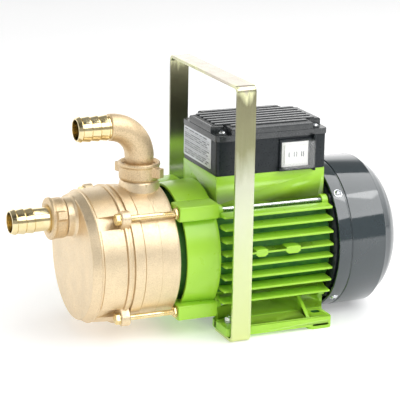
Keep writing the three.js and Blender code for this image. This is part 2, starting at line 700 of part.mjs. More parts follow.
function handleBolt(side) {
  const at = strapBoltAt(side);
  const foot = 0.2; // the bolt's end stays clear of the ground
  return join(rod('z', at, foot, 2.6, 3, FACETS.screw), rod('z', at, foot, 19, HANDLE.bolt, FACETS.screw));
}

function handleNut(side) {
  const at = strapBoltAt(side);
  const washerTop = FOOT.top + 1.7;
  return cut(
    join(hexagon('z', at, washerTop, washerTop + 4.9, 10), rod('z', at, FOOT.top + GAP, washerTop, 6.2)),
    rod('z', at, 0, 30, HANDLE.bolt + GAP, FACETS.screw),
  );
}

// ---------------------------------------------------------------- terminal box
const lidScrewPlaces = () => [BOX.front + LID_SCREW.inset, BOX.rear - LID_SCREW.inset].flatMap((x) =>
  [-1, 1].map((side) => [x, side * (BOX.half - LID_SCREW.insetY)]));

function terminalBox() {
  const b = BOX;
  const r = ROCKER;
  const screwRod = (low, high, radius) => lidScrewPlaces().map(([x, y]) =>
    rod('z', [x, y, 0], low, high, radius, FACETS.screw));
  const outer = prism(roundedRectangle(b.front, b.rear, -b.half, b.half, 3), 'z', b.bottom, b.rim);
  const [x0, x1] = [b.front + b.wall, b.rear - b.wall];
  const room = roundedRectangle(x0, x1, -b.half + b.wall, b.half - b.wall, 2);
  const inner = prism(room, 'z', b.bottom + 3, b.rim + 1);
  const posts = screwRod(b.bottom + 1, b.rim, 4.6);
  const holes = screwRod(b.rim - 16, b.rim + 1, LID_SCREW.radius + GAP);
  const switchWindow = block(
    [r.x - WINDOW.half, r.x + WINDOW.half],
    [-b.half - 1, -b.half + 4],
    [r.z - WINDOW.halfHeight, r.z + WINDOW.halfHeight],
  );
  const wireway = rod('z', [WIREWAY.x, 0, 0], b.bottom - 1, b.bottom + 4, WIREWAY.radius);
  const gland = rod('x', GLAND_AT, b.rear - 5, b.rear + 2, GLAND_RADIUS + GAP, FACETS.small);
  return cut(join(cut(outer, inner), ...posts), switchWindow, wireway, gland, ...holes);
}

function boxLid() {
  const b = BOX;
  const low = b.rim + 1 + GAP;
  const lip = 1.2;
  const rim = roundedRectangle(b.front - lip, b.rear + lip, -b.half - lip, b.half + lip, 3.5);
  const plate = prism(rim, 'z', low, low + 3);
  const corner = 17;
  const raised = prism([
    [b.front + corner, -b.half + 1], [b.rear - corner, -b.half + 1],
    [b.rear - corner, -b.half + corner], [b.rear - 1, -b.half + corner],
    [b.rear - 1, b.half - corner], [b.rear - corner, b.half - corner],
    [b.rear - corner, b.half - 1], [b.front + corner, b.half - 1],
    [b.front + corner, b.half - corner], [b.front + 1, b.half - corner],
    [b.front + 1, -b.half + corner], [b.front + corner, -b.half + corner],
  ], 'z', low + 2, b.lidTop - 1.4);
  const length = [b.front + corner + 2, b.rear - corner - 2];
  const ribs = Array.from({ length: 7 }, (_, i) => {
    const y = (i - 3) * 10.6;
    return block(length, [y - 2.6, y + 2.6], [b.lidTop - 2, b.lidTop]);
  });
  const holes = lidScrewPlaces().map(([x, y]) =>
    rod('z', [x, y, 0], low - 1, low + 4, LID_SCREW.radius + GAP, FACETS.screw));
  const under = block(length, [-b.half + 4, b.half - 4], [low - 1, b.lidTop - 4]);
  return cut(join(plate, raised, ...ribs), under, ...holes);
}

function lidGasket() {
  const b = BOX;
  const ring = roundedRectangle(b.front + 0.4, b.rear - 0.4, -b.half + 0.4, b.half - 0.4, 2.6);
  const hole = roundedRectangle(b.front + 2.6, b.rear - 2.6, -b.half + 2.6, b.half - 2.6, 2).reverse();
  return prism(ring, 'z', b.rim + GAP, b.rim + 1, [hole]);
}

function lidScrew([x, y]) {
  const seat = BOX.rim + 4.3 + GAP;
  return join(
    rod('z', [x, y, 0], seat, seat + 2.4, LID_SCREW.head, FACETS.small),
    rod('z', [x, y, 0], BOX.rim - 12, seat + 1, LID_SCREW.radius, FACETS.screw),
  );
}

function cableGland() {
  const { rear } = BOX;
  return cut(
    join(
      rod('x', GLAND_AT, rear - 6, rear + 8, GLAND_RADIUS, FACETS.small),
      hexagon('x', GLAND_AT, rear + GAP, rear + 5, 19),
      rod('x', GLAND_AT, rear + 5, rear + 13, 9, FACETS.small),
    ),
    rod('x', GLAND_AT, rear - 8, rear + 16, 4.2, FACETS.small),
  );
}

function switchFrame() {
  const s = SWITCH;
  const y0 = -BOX.half - s.proud;
  const outer = block([s.front, s.rear], [y0, -BOX.half - GAP], [s.bottom, s.top]);
  const height = [s.bottom + 3.2, s.top - 4.6];
  const opening = block([s.front + 4, s.rear - 1.4], [y0 - 1, -BOX.half + 1], height);
  return cut(outer, opening);
}

function splashCover() {
  const s = SWITCH;
  const [x0, x1] = [s.front + 4.3, s.rear - 1.7];
  const [z0, z1] = [s.bottom + 3.5, s.top - 4.9];
  const shell = block([x0, x1], [-BOX.half - 8.6, -BOX.half - GAP], [z0, z1]);
  const hollow = block([x0 + 1.2, x1 - 1.2], [-BOX.half - 7.4, -BOX.half + 1], [z0 + 1.2, z1 - 1.2]);
  return cut(shell, hollow);
}

// The rocker turns about a vertical pin, so its face is two shallow flats that meet over the pin.
function rocker() {
  const r = ROCKER;
  const half = r.length / 2;
  const face = r.pivotY - 3.2;
  return prism([
    [r.x - half, face - 1.6], [r.x, face], [r.x + half, face - 1.6], [r.x + half - 1.5, face + 4.5],
    [r.x + 4, r.pivotY + 6], [r.x - 4, r.pivotY + 6], [r.x - half + 1.5, face + 4.5],
  ], 'z', r.z - r.height / 2, r.z + r.height / 2);
}

// ---------------------------------------------------------------- assembly
const { castBrass, machinedBrass, greenPaint, blackGloss, blackSatin } = material;
const { yellowZinc, brightZinc, steel, copper, rubber, resin, ceramic } = material;

// A round piece on the shaft axis; a hollow one has an inner radius.
const onShaft = (from, to, radius, inner = 0) => rod('x', shaftAt, from, to, radius, FACETS.ring, inner);

addPiece('front_cover', frontCover(), castBrass);
addPiece('rear_casing', rearCasing(), castBrass);
addPiece('suction_hose_tail', suctionTail(), machinedBrass);
const gasket = (axis, at, from, thick) =>
  rod(axis, at, from, from + thick, GASKET.radius, FACETS.ring, GASKET.bore);
const { nutFront, nutRear } = SUCTION;
const { nutBottom, nutTop } = DISCHARGE;
const suctionGasket = gasket('x', suctionAt, nutFront + 6, GASKET.suctionThick);
const suctionNut = unionNut('x', suctionAt, nutRear, nutFront, NUT_TURN.suction, TAIL.root + 0.6);
const dischargeGasket = gasket('z', dischargeAt, nutTop - 8.7, GASKET.dischargeThick);
const dischargeNut = unionNut('z', dischargeAt, nutBottom, nutTop, NUT_TURN.discharge, 15.9);
addPiece('suction_gasket', suctionGasket, rubber);
addPiece('suction_nut', suctionNut, castBrass);
addPiece('discharge_gasket', dischargeGasket, rubber);
addPiece('discharge_nut', dischargeNut, castBrass);
addPiece('discharge_elbow', dischargeElbow(), castBrass);
CORNERS.forEach((corner, i) => addPiece(`casing_bolt_${i + 1}`, casingBolt(corner), yellowZinc));

addPiece('jet_nozzle', jetNozzle(), machinedBrass);
addPiece('venturi_tube', venturiTube(), resin);
addPiece('diffuser', diffuser(), resin);
addPiece('impeller', impeller(), machinedBrass);
addPiece('impeller_nut', impellerNut(), steel);
addPiece('seal_head', onShaft(SEAL.headFront, SEAL.headRear, SEAL.headRadius, SHAFT.radius + GAP), steel);
addPiece('seal_seat', onShaft(SEAL.seatFront, SEAL.seatRear, SEAL.seatRadius, SHAFT.radius + 1), ceramic);
addPiece('shaft', shaft(), steel);

const bearing = (from, to, radius) => onShaft(from, to, radius, SHAFT.radius + GAP);
const winding = (from, to) => onShaft(from, to, WINDING.outer, WINDING.inner);
const stator = rod('x', shaftAt, CORE.front, CORE.rear, MOTOR.bore - GAP, FACETS.drum, CORE.gapOuter);
addPiece('motor_bracket', motorBracket(), greenPaint);
addPiece('motor_housing', motorHousing(), greenPaint);
addPiece('front_bearing', bearing(BEARING.frontStart, BEARING.frontEnd, BEARING.frontRadius), steel);
addPiece('rear_bearing', bearing(BEARING.rearStart, BEARING.rearEnd, BEARING.rearRadius), steel);
addPiece('stator_core', stator, steel);
addPiece('front_winding', winding(WINDING.front, CORE.front - GAP), copper);
addPiece('rear_winding', winding(CORE.rear + GAP, WINDING.rear), copper);
addPiece('rotor_core', onShaft(CORE.front, CORE.rear, CORE.gapInner, SHAFT.coreRadius + GAP), steel);
addPiece('rear_shield', rearShield(), blackSatin);
CORNERS.forEach((corner, i) => addPiece(`motor_tie_rod_${i + 1}`, tieRod(corner), brightZinc));
addPiece('cooling_fan', coolingFan(), resin);
addPiece('fan_cover', fanCover(), blackGloss);
CORNERS.forEach((corner, i) => addPiece(`cover_screw_${i + 1}`, coverScrew(corner), brightZinc));

const can = CAPACITOR;
const capacitor = rod('x', [0, can.y, can.z], can.front, can.rear, can.radius, FACETS.ring);
const terminals = block([24, 62], [-26, -10], [BOX.bottom + 3.3, BOX.bottom + 15]);
const nameplate = block([BOX.front - NAMEPLATE.proud, BOX.front - GAP], NAMEPLATE.y, NAMEPLATE.z);
addPiece('terminal_box', terminalBox(), blackSatin);
addPiece('lid_gasket', lidGasket(), rubber);
addPiece('box_lid', boxLid(), blackSatin);
lidScrewPlaces().forEach((place, i) => addPiece(`lid_screw_${i + 1}`, lidScrew(place), brightZinc));
addPiece('capacitor', capacitor, blackSatin);
addPiece('terminal_block', terminals, material.whitePlastic);
addPiece('cable_gland', cableGland(), blackSatin);
addPiece('switch_frame', switchFrame(), blackSatin);
addPiece('splash_cover', splashCover(), material.clearPlastic);
addPiece('rocker', rocker(), material.whitePlastic);
addPiece('nameplate', nameplate, material.label);

addPiece('handle_strap', handleStrap(), yellowZinc);
[-1, 1].forEach((side, i) => {
  addPiece(`handle_bolt_${i + 1}`, handleBolt(side), brightZinc);
  addPiece(`handle_nut_${i + 1}`, handleNut(side), brightZinc);
});

export default pump;
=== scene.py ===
"""Shallow well jet pump: the finely modelled pieces, their finishes, the studio and the camera.

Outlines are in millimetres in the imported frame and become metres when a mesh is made.
"""

import json
import random
from math import atan2, cos, hypot, pi, radians, sin
from types import SimpleNamespace as Sizes

import bmesh
import bpy
from mathutils import Euler, Matrix, Vector


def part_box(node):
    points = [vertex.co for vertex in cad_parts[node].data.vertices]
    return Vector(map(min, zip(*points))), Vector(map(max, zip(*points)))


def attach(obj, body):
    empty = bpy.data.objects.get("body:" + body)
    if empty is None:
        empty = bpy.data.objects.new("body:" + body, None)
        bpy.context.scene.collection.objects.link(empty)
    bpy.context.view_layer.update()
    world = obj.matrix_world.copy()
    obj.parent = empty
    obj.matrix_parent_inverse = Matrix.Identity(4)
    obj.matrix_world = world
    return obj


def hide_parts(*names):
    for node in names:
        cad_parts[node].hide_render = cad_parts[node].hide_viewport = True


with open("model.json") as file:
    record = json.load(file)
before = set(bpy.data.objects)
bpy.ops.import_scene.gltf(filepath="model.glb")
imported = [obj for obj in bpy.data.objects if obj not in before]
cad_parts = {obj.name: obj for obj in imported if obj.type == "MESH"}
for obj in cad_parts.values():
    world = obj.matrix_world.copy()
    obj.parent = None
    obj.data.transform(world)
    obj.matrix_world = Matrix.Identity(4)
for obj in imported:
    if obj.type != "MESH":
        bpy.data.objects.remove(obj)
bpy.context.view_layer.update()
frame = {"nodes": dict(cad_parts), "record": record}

# ---- driving dimensions
MM = 0.001
ROOT = "pump_body"


def span(node, axis):
    """Lowest and highest coordinate of a CAD node along an axis, in millimetres."""
    low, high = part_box(node)
    index = "XYZ".index(axis)
    return low[index] / MM, high[index] / MM


SHAFT_Z = sum(span("rotor_core", "Z")) / 2
INLET_Z = sum(span("suction_hose_tail", "Z")) / 2
OUTLET_X = sum(span("discharge_gasket", "X")) / 2
MOUTH_X = span("suction_hose_tail", "X")[0]
OUTLET_MOUTH_X = span("discharge_elbow", "X")[0]
REAR_X = span("fan_cover", "X")[1]
AXIS = (0, 0, SHAFT_Z)
CORNERS = [(-1, 1), (1, 1), (-1, -1), (1, -1)]

DRUM = Sizes(
    front=-134.3, shoulder=-124.9, lip=-99.3, joint=-93.9, step=-82.2, rear=-44.8,
    face_radius=62.3, crown=66, flange=69.6, radius=67.2, wall=4,
)
BOLT = Sizes(y=52.9, rise=50.6, radius=2.9, head=-108.6, nut=-47.4, end=-38, across=10, play=0.4)
TIE = Sizes(y=49.4, rise=49, radius=2.4, across=8, play=0.3)
PORT = Sizes(spigot=19.2, thread=16.6, bore=10, pitch=1.6, depth=0.4)
NUT = Sizes(radius=20.5, bore=17.1, lip=3, reach=27.7)
INLET_NUT = Sizes(front=-159.4, rear=-143.8, turn=70)
OUTLET_NUT = Sizes(low=153.7, top=171.4, turn=-57)
ELBOW = Sizes(z=207.7, bend=31, radius=14.6, taper=1.1)
TAIL = Sizes(root=11.7, barb=12.9, mouth=11.3, bore=10)
BRACKET = Sizes(neck_front=-44.5, front=-37.4, rear=-2.5, recess=53, radius=65.6, rear_radius=67.6)
MOTOR = Sizes(front=-2.1, rear=120.7, bore=58, radius=61, fin_tip=73)
FIN_HEIGHTS = (45, 33, 20.5, 7.5, -4.5, -17.3, -30.3, -43)
PEDESTAL = Sizes(half=42.5, top=159.4)
WIREWAY = Sizes(x=60, radius=9)
FOOT = Sizes(front=1.4, rear=118, half=76.8, low=3.3, top=11.8, web=49, pad=26, corner=4.5)
# The foot slots' last size is how far round each slot the walls get the painted shade.
SLOT = Sizes(x=(12.7, 108), y=58, length=10, width=7, grime=5.4)
FAN = Sizes(front=123.5, collar=137.5, edge=176.4, radius=78, rear_radius=56, wall=2.2, slots=12)
BOX = Sizes(front=1.5, rear=121.2, half=42.5, low=159.7, rim=194.3, floor=200.4, top=208.4)
SWITCH = Sizes(front=66.6, rear=107.5, low=158.8, top=195, proud=6)
WINDOW = Sizes(half=15, rise=13)
WELL = Sizes(half=14.6, rise=12.6, inner_half=13.2, inner_rise=10.2)
ROCKER = Sizes(half=12.5, rise=9.5, slope=1.6, pin=0.5, crest=3.2, mark=7.5)
LID = Sizes(corner=16, ribs=8, pitch=9.4, rib_half=2.5, screw_inset=9, screw_side=8.5)
LABEL = Sizes(rows=13, rules=(1, 5, 9), margin=3, seed=11)
GLAND_BORE = 4.2
HANDLE = Sizes(front=2.7, rear=22.7, half=85.4, top=258.6, thick=3, bend=6.5, tab=44, bolt=3, across=10)
SEAT_GAP = 0.15


# ---- outlines
def soften(outline, closed=True, steps=4):
    """Rounds corners: a point (u, v, reach) becomes a curve that starts reach before it."""
    smooth = []
    for i, (u, v, *reach) in enumerate(outline):
        here = Vector((u, v))
        if not reach or (not closed and i in (0, len(outline) - 1)):
            smooth.append(here)
            continue
        before = Vector(outline[i - 1][:2]) - here
        after = Vector(outline[(i + 1) % len(outline)][:2]) - here
        start = here + before.normalized() * min(reach[0], before.length * 0.49)
        end = here + after.normalized() * min(reach[0], after.length * 0.49)
        for s in range(steps + 1):
            t = s / steps
            smooth.append(start * (1 - t) ** 2 + here * (2 * t * (1 - t)) + end * t * t)
    return smooth


def rectangle(u, v, reach=0.0):
    """A rectangle outline between two corners, with rounded corners."""
    return [(u[0], v[0], reach), (u[1], v[0], reach), (u[1], v[1], reach), (u[0], v[1], reach)]


def circle(centre, radius, count=24):
    """Points round a circle."""
    return [(centre[0] + radius * cos(2 * pi * i / count), centre[1] + radius * sin(2 * pi * i / count))
            for i in range(count)]


def slot_outline(u, v, length, width, steps=10):
    """A slot with half round ends, long along u."""
    reach = length / 2 - width / 2
    ends = ((reach, -pi / 2), (-reach, pi / 2))
    turns = [(shift, start + pi * i / steps) for shift, start in ends for i in range(steps + 1)]
    return [(u + shift + width / 2 * cos(angle), v + width / 2 * sin(angle)) for shift, angle in turns]


# ---- mesh building
def placed(name, data):
    """Puts a mesh, light or camera into the scene."""
    obj = bpy.data.objects.new(name, data)
    bpy.context.scene.collection.objects.link(obj)
    return obj


def from_bmesh(name, bm):
    mesh = bpy.data.meshes.new(name)
    bm.to_mesh(mesh)
    bm.free()
    return placed(name, mesh)


def to_object(name, bm):
    """Makes an object in metres from a bmesh in millimetres."""
    bmesh.ops.recalc_face_normals(bm, faces=bm.faces)
    obj = from_bmesh(name, bm)
    obj.data.transform(Matrix.Scale(MM, 4))
    return obj


def oriented(axis, at, along, u, v):
    """A point at a distance along an axis, with u and v across it."""
    if axis == "X":
        return (along, at[1] + u, at[2] + v)
    if axis == "Y":
        return (at[0] + u, along, at[2] + v)
    return (at[0] + u, at[1] + v, along)


def loft(name, rings, closed=False, capped=False):
    """Joins rings of points; a ring of one point closes the form to a tip."""
    bm = bmesh.new()
    made = [[bm.verts.new(point) for point in ring] for ring in rings]
    if capped:
        bm.faces.new(made[0])
        bm.faces.new(made[-1])
    pairs = list(zip(made, made[1:]))
    if closed:
        pairs.append((made[-1], made[0]))
    for a, b in pairs:
        count = max(len(a), len(b))
        for i in range(count):
            j = (i + 1) % count
            if len(a) == 1:
                bm.faces.new((a[0], b[j], b[i]))
            elif len(b) == 1:
                bm.faces.new((a[i], a[j], b[0]))
            else:
                bm.faces.new((a[i], a[j], b[j], b[i]))
    return to_object(name, bm)


def lathe(name, outline, axis="X", at=AXIS, segments=128):
    """Turns an outline of (along, radius, edge reach) points about an axis."""
    solid = outline[0][1] == 0 and outline[-1][1] == 0
    rings = []
    for along, radius in soften(outline, closed=not solid):
        count = segments if radius > 1e-6 else 1
        turns = [2 * pi * i / count for i in range(count)]
        rings.append([oriented(axis, at, along, radius * cos(a), radius * sin(a)) for a in turns])
    return loft(name, rings, closed=not solid)


def corner_point(corner, pattern):
    """Where a bolt of a four-bolt pattern stands."""
    side, level = corner
    return (0, side * pattern.y, SHAFT_Z + level * pattern.rise)


def corner_holes(pattern, start, end, segments=48):
    """Four clearance holes through a part."""
    radius = pattern.radius + pattern.play
    places = [corner_point(corner, pattern) for corner in CORNERS]
    return [rod("hole", "X", at, start, end, radius, 0, segments) for at in places]


def rod(name, axis, at, start, end, radius, edge=0.3, segments=48):
    """A turned pin with softened ends."""
    outline = [(start, 0), (start, radius, edge), (end, radius, edge), (end, 0)]
    return lathe(name, outline, axis, at, segments)


def tube(name, axis, at, start, end, radius, bore, edge=0.3, segments=64):
    """A turned ring with softened edges."""
    outline = [(start, bore, edge), (start, radius, edge), (end, radius, edge), (end, bore, edge)]
    return lathe(name, outline, axis, at, segments)


def prism(name, outline, axis, start, end, edge=0.4, at=(0, 0, 0), steps=2, profile=0.6):
    """Extrudes an outline along an axis and softens both rims."""
    bm = bmesh.new()
    points = soften(outline)
    low = [bm.verts.new(oriented(axis, at, start, u, v)) for u, v in points]
    high = [bm.verts.new(oriented(axis, at, end, u, v)) for u, v in points]
    caps = [bm.faces.new(low), bm.faces.new(high)]
    for i in range(len(points)):
        j = (i + 1) % len(points)
        bm.faces.new((low[i], low[j], high[j], high[i]))
    if edge:
        rims = [e for cap in caps for e in cap.edges]
        bmesh.ops.bevel(bm, geom=rims, offset=edge, segments=steps, affect="EDGES", profile=profile)
    return to_object(name, bm)


def block(name, x, y, z, edge=0.5):
    """A block between two corners with every edge softened."""
    return prism(name, rectangle(x, y, edge), "Z", z[0], z[1], edge)


def hull(name, points):
    """The convex solid round a set of points."""
    bm = bmesh.new()
    for point in points:
        bm.verts.new(point)
    bmesh.ops.convex_hull(bm, input=bm.verts)
    loose = [v for v in bm.verts if not v.link_faces]
    bmesh.ops.delete(bm, geom=loose, context="VERTS")
    return to_object(name, bm)


def settle(obj):
    """Applies an object's modifiers to its mesh."""
    depsgraph = bpy.context.evaluated_depsgraph_get()
    mesh = bpy.data.meshes.new_from_object(obj.evaluated_get(depsgraph))
    obj.modifiers.clear()
    obj.data = mesh
    return obj


def gather(name, parts):
    """Puts several objects' meshes into one object."""
    bm = bmesh.new()
    for part in parts:
        part.data.transform(part.matrix_basis)
        bm.from_mesh(part.data)
        bpy.data.objects.remove(part, do_unlink=True)
    return from_bmesh(name, bm)


def boolean(obj, tools, operation, solver="EXACT"):
    """Joins tools to an object or cuts them out of it."""
    tool = gather("tool", tools)
    modifier = obj.modifiers.new("boolean", "BOOLEAN")
    modifier.operation = operation
    modifier.solver = solver
    if solver == "EXACT":
        modifier.use_self = True
    modifier.object = tool
    bpy.context.view_layer.update()
    settle(obj)
    bpy.data.objects.remove(tool, do_unlink=True)
    return obj


def carve(obj, *tools):
    return boolean(obj, tools, "DIFFERENCE")


def fuse(name, first, *parts):
    obj = boolean(first, parts, "UNION") if parts else first
    obj.name = name
    return obj


def casting(name, parts, grain=0.8, smoothing=3):
    """Melts overlapping solids into one skin with small fillets, as a casting has."""
    obj = gather(name, parts)
    remesh = obj.modifiers.new("skin", "REMESH")
    remesh.mode = "VOXEL"
    remesh.voxel_size = grain * MM
    remesh.use_smooth_shade = True
    smooth = obj.modifiers.new("fillet", "SMOOTH")
    smooth.factor = 0.5
    smooth.iterations = smoothing
    return settle(obj)


def turned(obj, angle, axis, at):
    """Turns an object about an axis through a point given in millimetres."""
    pivot = Matrix.Translation(Vector(at) * MM)
    obj.data.transform(pivot @ Matrix.Rotation(angle, 4, axis) @ pivot.inverted())
    return obj


def present(obj, finish, body=ROOT, stands_for=(), sharp=32):
    """Finishes a piece: material, shading, the body it rides on and the CAD nodes it stands for."""
    obj.data.materials.clear()
    obj.data.materials.append(finish)
    obj.data.shade_smooth()
    obj.data.set_sharp_from_angle(angle=radians(sharp))
    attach(obj, body)
    if stands_for:
        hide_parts(*stands_for)
    return obj


# ---- materials
class Finish:
    """A Principled material with procedural colour, roughness and relief in object coordinates."""

    def __init__(self, name, colour, roughness, metallic=0.0, **sockets):
        self.material = bpy.data.materials.new(name)
        self.material.use_nodes = True
        self.tree = self.material.node_tree
        self.shader = self.tree.nodes["Principled BSDF"]
        self.place = self.add("ShaderNodeTexCoord").outputs["Object"]
        self.set("Base Color", (*colour, 1))
        self.set("Roughness", roughness)
        self.set("Metallic", metallic)
        for socket, value in sockets.items():
            self.set(socket.replace("_", " "), value)
        self.normal = None

    def add(self, kind, **inputs):
        node = self.tree.nodes.new(kind)
        for name, value in inputs.items():
            self.link_or_set(node.inputs[name.replace("_", " ")], value)
        return node

    def link_or_set(self, socket, value):
        if isinstance(value, bpy.types.NodeSocket):
            self.tree.links.new(value, socket)
        else:
            socket.default_value = value

    def set(self, socket, value):
        self.link_or_set(self.shader.inputs[socket], value)

    def stretched(self, scale):
        """Object coordinates scaled along each axis."""
        return self.add("ShaderNodeMapping", Vector=self.place, Scale=scale).outputs["Vector"]

    def noise(self, scale, detail=3.0, roughness=0.5, place=None):
        node = self.add("ShaderNodeTexNoise", Vector=place or self.place, Scale=scale, Detail=detail)
        node.inputs["Roughness"].default_value = roughness
        return node.outputs["Fac"]

    def cells(self, scale, place=None):
        return self.add("ShaderNodeTexVoronoi", Vector=place or self.place, Scale=scale).outputs["Distance"]

    def range(self, value, low, high, start=0.3, end=0.7):
        """Maps a value between start and end to low and high."""
        node = self.add("ShaderNodeMapRange", Value=value)
        for name, number in (("From Min", start), ("From Max", end), ("To Min", low), ("To Max", high)):
            node.inputs[name].default_value = number
        return node.outputs["Result"]

    def ramp(self, value, *stops):
        """A colour ramp of (position, colour) stops."""
        node = self.add("ShaderNodeValToRGB", Fac=value)
        elements = node.color_ramp.elements
        while len(elements) < len(stops):
            elements.new(0.5)
        for element, (position, colour) in zip(elements, stops):
            element.position = position
            element.color = (*colour, 1)
        return node.outputs["Color"]

    def mix(self, share, a, b):
        node = self.add("ShaderNodeMix")
        node.data_type = "RGBA"
        self.link_or_set(node.inputs[0], share)
        for index, colour in ((6, a), (7, b)):
            value = (*colour, 1) if isinstance(colour, tuple) else colour
            self.link_or_set(node.inputs[index], value)
        return node.outputs[2]

    def relief(self, height, strength, distance):
        """Adds a bump layer on top of the earlier ones."""
        node = self.add("ShaderNodeBump", Height=height, Strength=strength, Distance=distance * MM)
        if self.normal:
            self.tree.links.new(self.normal, node.inputs["Normal"])
        self.normal = node.outputs["Normal"]
        self.set("Normal", self.normal)


def plain(name, colour, roughness, tones, relief, grain=None, metallic=0.0, **sockets):
    """A finish whose tones, roughness and relief each follow a noise, given first in each group."""
    f = Finish(name, colour, roughness, metallic, **sockets)
    f.set("Base Color", f.ramp(f.noise(*tones[0]), *tones[1:]))
    if grain:
        f.set("Roughness", f.range(f.noise(*grain[0]), *grain[1:]))
    f.relief(f.noise(*relief[0]), *relief[1:])
    return f.material


def cast_brass(name, light, dark, grain, depth):
    """Sand-cast brass: grain sets the speckle's fineness and depth its relief in millimetres."""
    f = Finish(name, light, 0.42, 0.9)
    pale = tuple(min(1.0, c * 1.07) for c in light)
    tone = f.ramp(f.noise(38, 4, 0.6), (0.3, tuple(c * 0.93 for c in light)), (0.7, pale))
    speckle = f.noise(grain, 3, 0.7)
    f.set("Base Color", f.mix(f.range(speckle, 0.0, 0.6, 0.42, 0.74), tone, dark))
    f.set("Roughness", f.range(f.noise(grain / 3, 3), 0.34, 0.5))
    f.relief(speckle, 0.5, depth)
    return f.material


def machined_brass():
    """Turned brass with fine tool rings along X."""
    f = Finish("machined_brass_x", (0.86, 0.74, 0.44), 0.12, 1.0)
    rings = f.noise(1, 2, 0.5, f.stretched((2600.0, 60.0, 60.0)))
    f.set("Base Color", f.ramp(f.noise(70, 3), (0.3, (0.80, 0.66, 0.35)), (0.7, (0.90, 0.79, 0.51))))
    f.set("Roughness", f.range(rings, 0.09, 0.2))
    f.relief(rings, 0.25, 0.05)
    return f.material


def green_enamel():
    f = Finish("green_enamel", (0.37, 0.69, 0.04), 0.3, 0.0, Coat_Weight=0.3, Coat_Roughness=0.2)
    tone = f.ramp(f.noise(30, 3), (0.3, (0.35, 0.67, 0.035)), (0.7, (0.40, 0.72, 0.05)))
    dust = f.range(f.noise(500, 4, 0.7), 0.0, 0.08, 0.6, 0.8)
    f.set("Base Color", f.mix(dust, tone, (0.55, 0.78, 0.3)))
    f.set("Roughness", f.range(f.noise(160, 3), 0.27, 0.36))
    f.relief(f.noise(900, 2), 0.12, 0.08)
    return f.material


def satin_black():
    f = Finish("satin_black", (0.012, 0.016, 0.019), 0.3, 0.0, IOR=1.38)
    f.set("Base Color", f.ramp(f.noise(150, 4), (0.3, (0.010, 0.014, 0.017)), (0.75, (0.018, 0.023, 0.027))))
    f.set("Roughness", f.range(f.noise(500, 3), 0.25, 0.38))
    f.relief(f.cells(1500), 0.12, 0.05)
    return f.material


def worn_lid():
    f = Finish("ribbed_lid_plastic", (0.03, 0.034, 0.036), 0.22, 0.0, IOR=1.65)
    dust = f.range(f.noise(90, 5, 0.65), 0.1, 0.7)
    f.set("Base Color", f.mix(dust, (0.022, 0.026, 0.029), (0.06, 0.064, 0.066)))
    f.set("Roughness", f.range(f.noise(400, 3), 0.18, 0.3))
    f.relief(f.cells(1400), 0.1, 0.05)
    return f.material


def zinc_film(name, stops, streak, drift_scale):
    """Passivated zinc whose film colour drifts slowly, with faint streaks along the bar."""
    f = Finish(name, stops[0][1], 0.22, 0.92)
    drift = f.noise(1, 2, 0.5, f.stretched(drift_scale))
    ramp_tones = f.ramp(drift, *stops)
    scratches = f.noise(1, 3, 0.6, f.stretched((420.0, 420.0, 16.0)))
    f.set("Base Color", f.mix(f.range(scratches, 0.0, 0.16, 0.5, 0.8), ramp_tones, streak))
    f.set("Roughness", f.range(f.noise(60, 3, 0.5), 0.18, 0.27))
    f.relief(scratches, 0.04, 0.03)
    return f


def yellow_zinc():
    stops = ((0.30, (0.84, 0.79, 0.46)), (0.42, (0.80, 0.84, 0.66)), (0.5, (0.88, 0.82, 0.76)),
             (0.6, (0.86, 0.86, 0.62)), (0.72, (0.84, 0.78, 0.44)))
    return zinc_film("yellow_zinc", stops, (0.62, 0.6, 0.4), (9.0, 4.0, 13.0)).material


def strap_zinc():
    """The strap's colour by height: yellow-green low down, pale, then dark olive, a pale yellow band at the
    bends that is a painted highlight, and pinkish on the top bar.
    """
    f = zinc_film("strap_zinc", ((0.3, (0.80, 0.80, 0.58)), (0.7, (0.86, 0.86, 0.7))), (0.55, 0.53, 0.34),
                  (9.0, 4.0, 13.0))
    split = f.add("ShaderNodeSeparateXYZ", Vector=f.place)
    wander = f.range(f.noise(1, 3, 0.6, f.stretched((60.0, 8.0, 10.0))), -0.012, 0.012, 0.3, 0.7)
    height = f.add("ShaderNodeMath", Value=split.outputs["Z"]).outputs[0]
    f.tree.links.new(wander, height.node.inputs[1])
    # Colour by height: the pale yellow stop at 0.965 is a painted highlight standing for light caught on the
    # bends.
    ramp_tones = f.ramp(
        f.range(height, 0.0, 1.0, 0.0, 0.262),
        (0.0, (0.68, 0.74, 0.33)), (0.3, (0.66, 0.73, 0.40)), (0.48, (0.64, 0.68, 0.48)),
        (0.6, (0.58, 0.60, 0.46)), (0.74, (0.27, 0.27, 0.15)), (0.93, (0.23, 0.22, 0.13)),
        (0.965, (0.80, 0.80, 0.48)), (0.985, (0.60, 0.54, 0.44)),
    )
    scratches = f.noise(1, 3, 0.6, f.stretched((420.0, 420.0, 16.0)))
    f.set("Base Color", f.mix(f.range(scratches, 0.0, 0.14, 0.5, 0.8), ramp_tones, (0.5, 0.5, 0.34)))
    return f.material


def gold_zinc():
    stops = ((0.35, (0.80, 0.63, 0.30)), (0.65, (0.86, 0.74, 0.46)))
    return zinc_film("gold_zinc", stops, (0.5, 0.36, 0.16), (90.0, 90.0, 90.0)).material


def ground_steel():
    f = Finish("ground_steel", (0.42, 0.43, 0.45), 0.32, 1.0)
    f.set("Base Color", f.ramp(f.noise(160, 4), (0.3, (0.34, 0.35, 0.37)), (0.7, (0.5, 0.51, 0.53))))
    f.set("Roughness", f.range(f.noise(1, 3, 0.6, f.stretched((2000.0, 90.0, 90.0))), 0.24, 0.42))
    f.relief(f.noise(900, 2), 0.12, 0.05)
    return f.material


def copper_winding():
    f = Finish("copper_winding", (0.55, 0.2, 0.08), 0.34, 0.85)
    strands = f.noise(1, 2, 0.5, f.stretched((1400.0, 120.0, 120.0)))
    f.set("Base Color", f.ramp(strands, (0.35, (0.30, 0.09, 0.03)), (0.65, (0.62, 0.25, 0.11))))
    f.relief(strands, 0.8, 0.5)
    return f.material


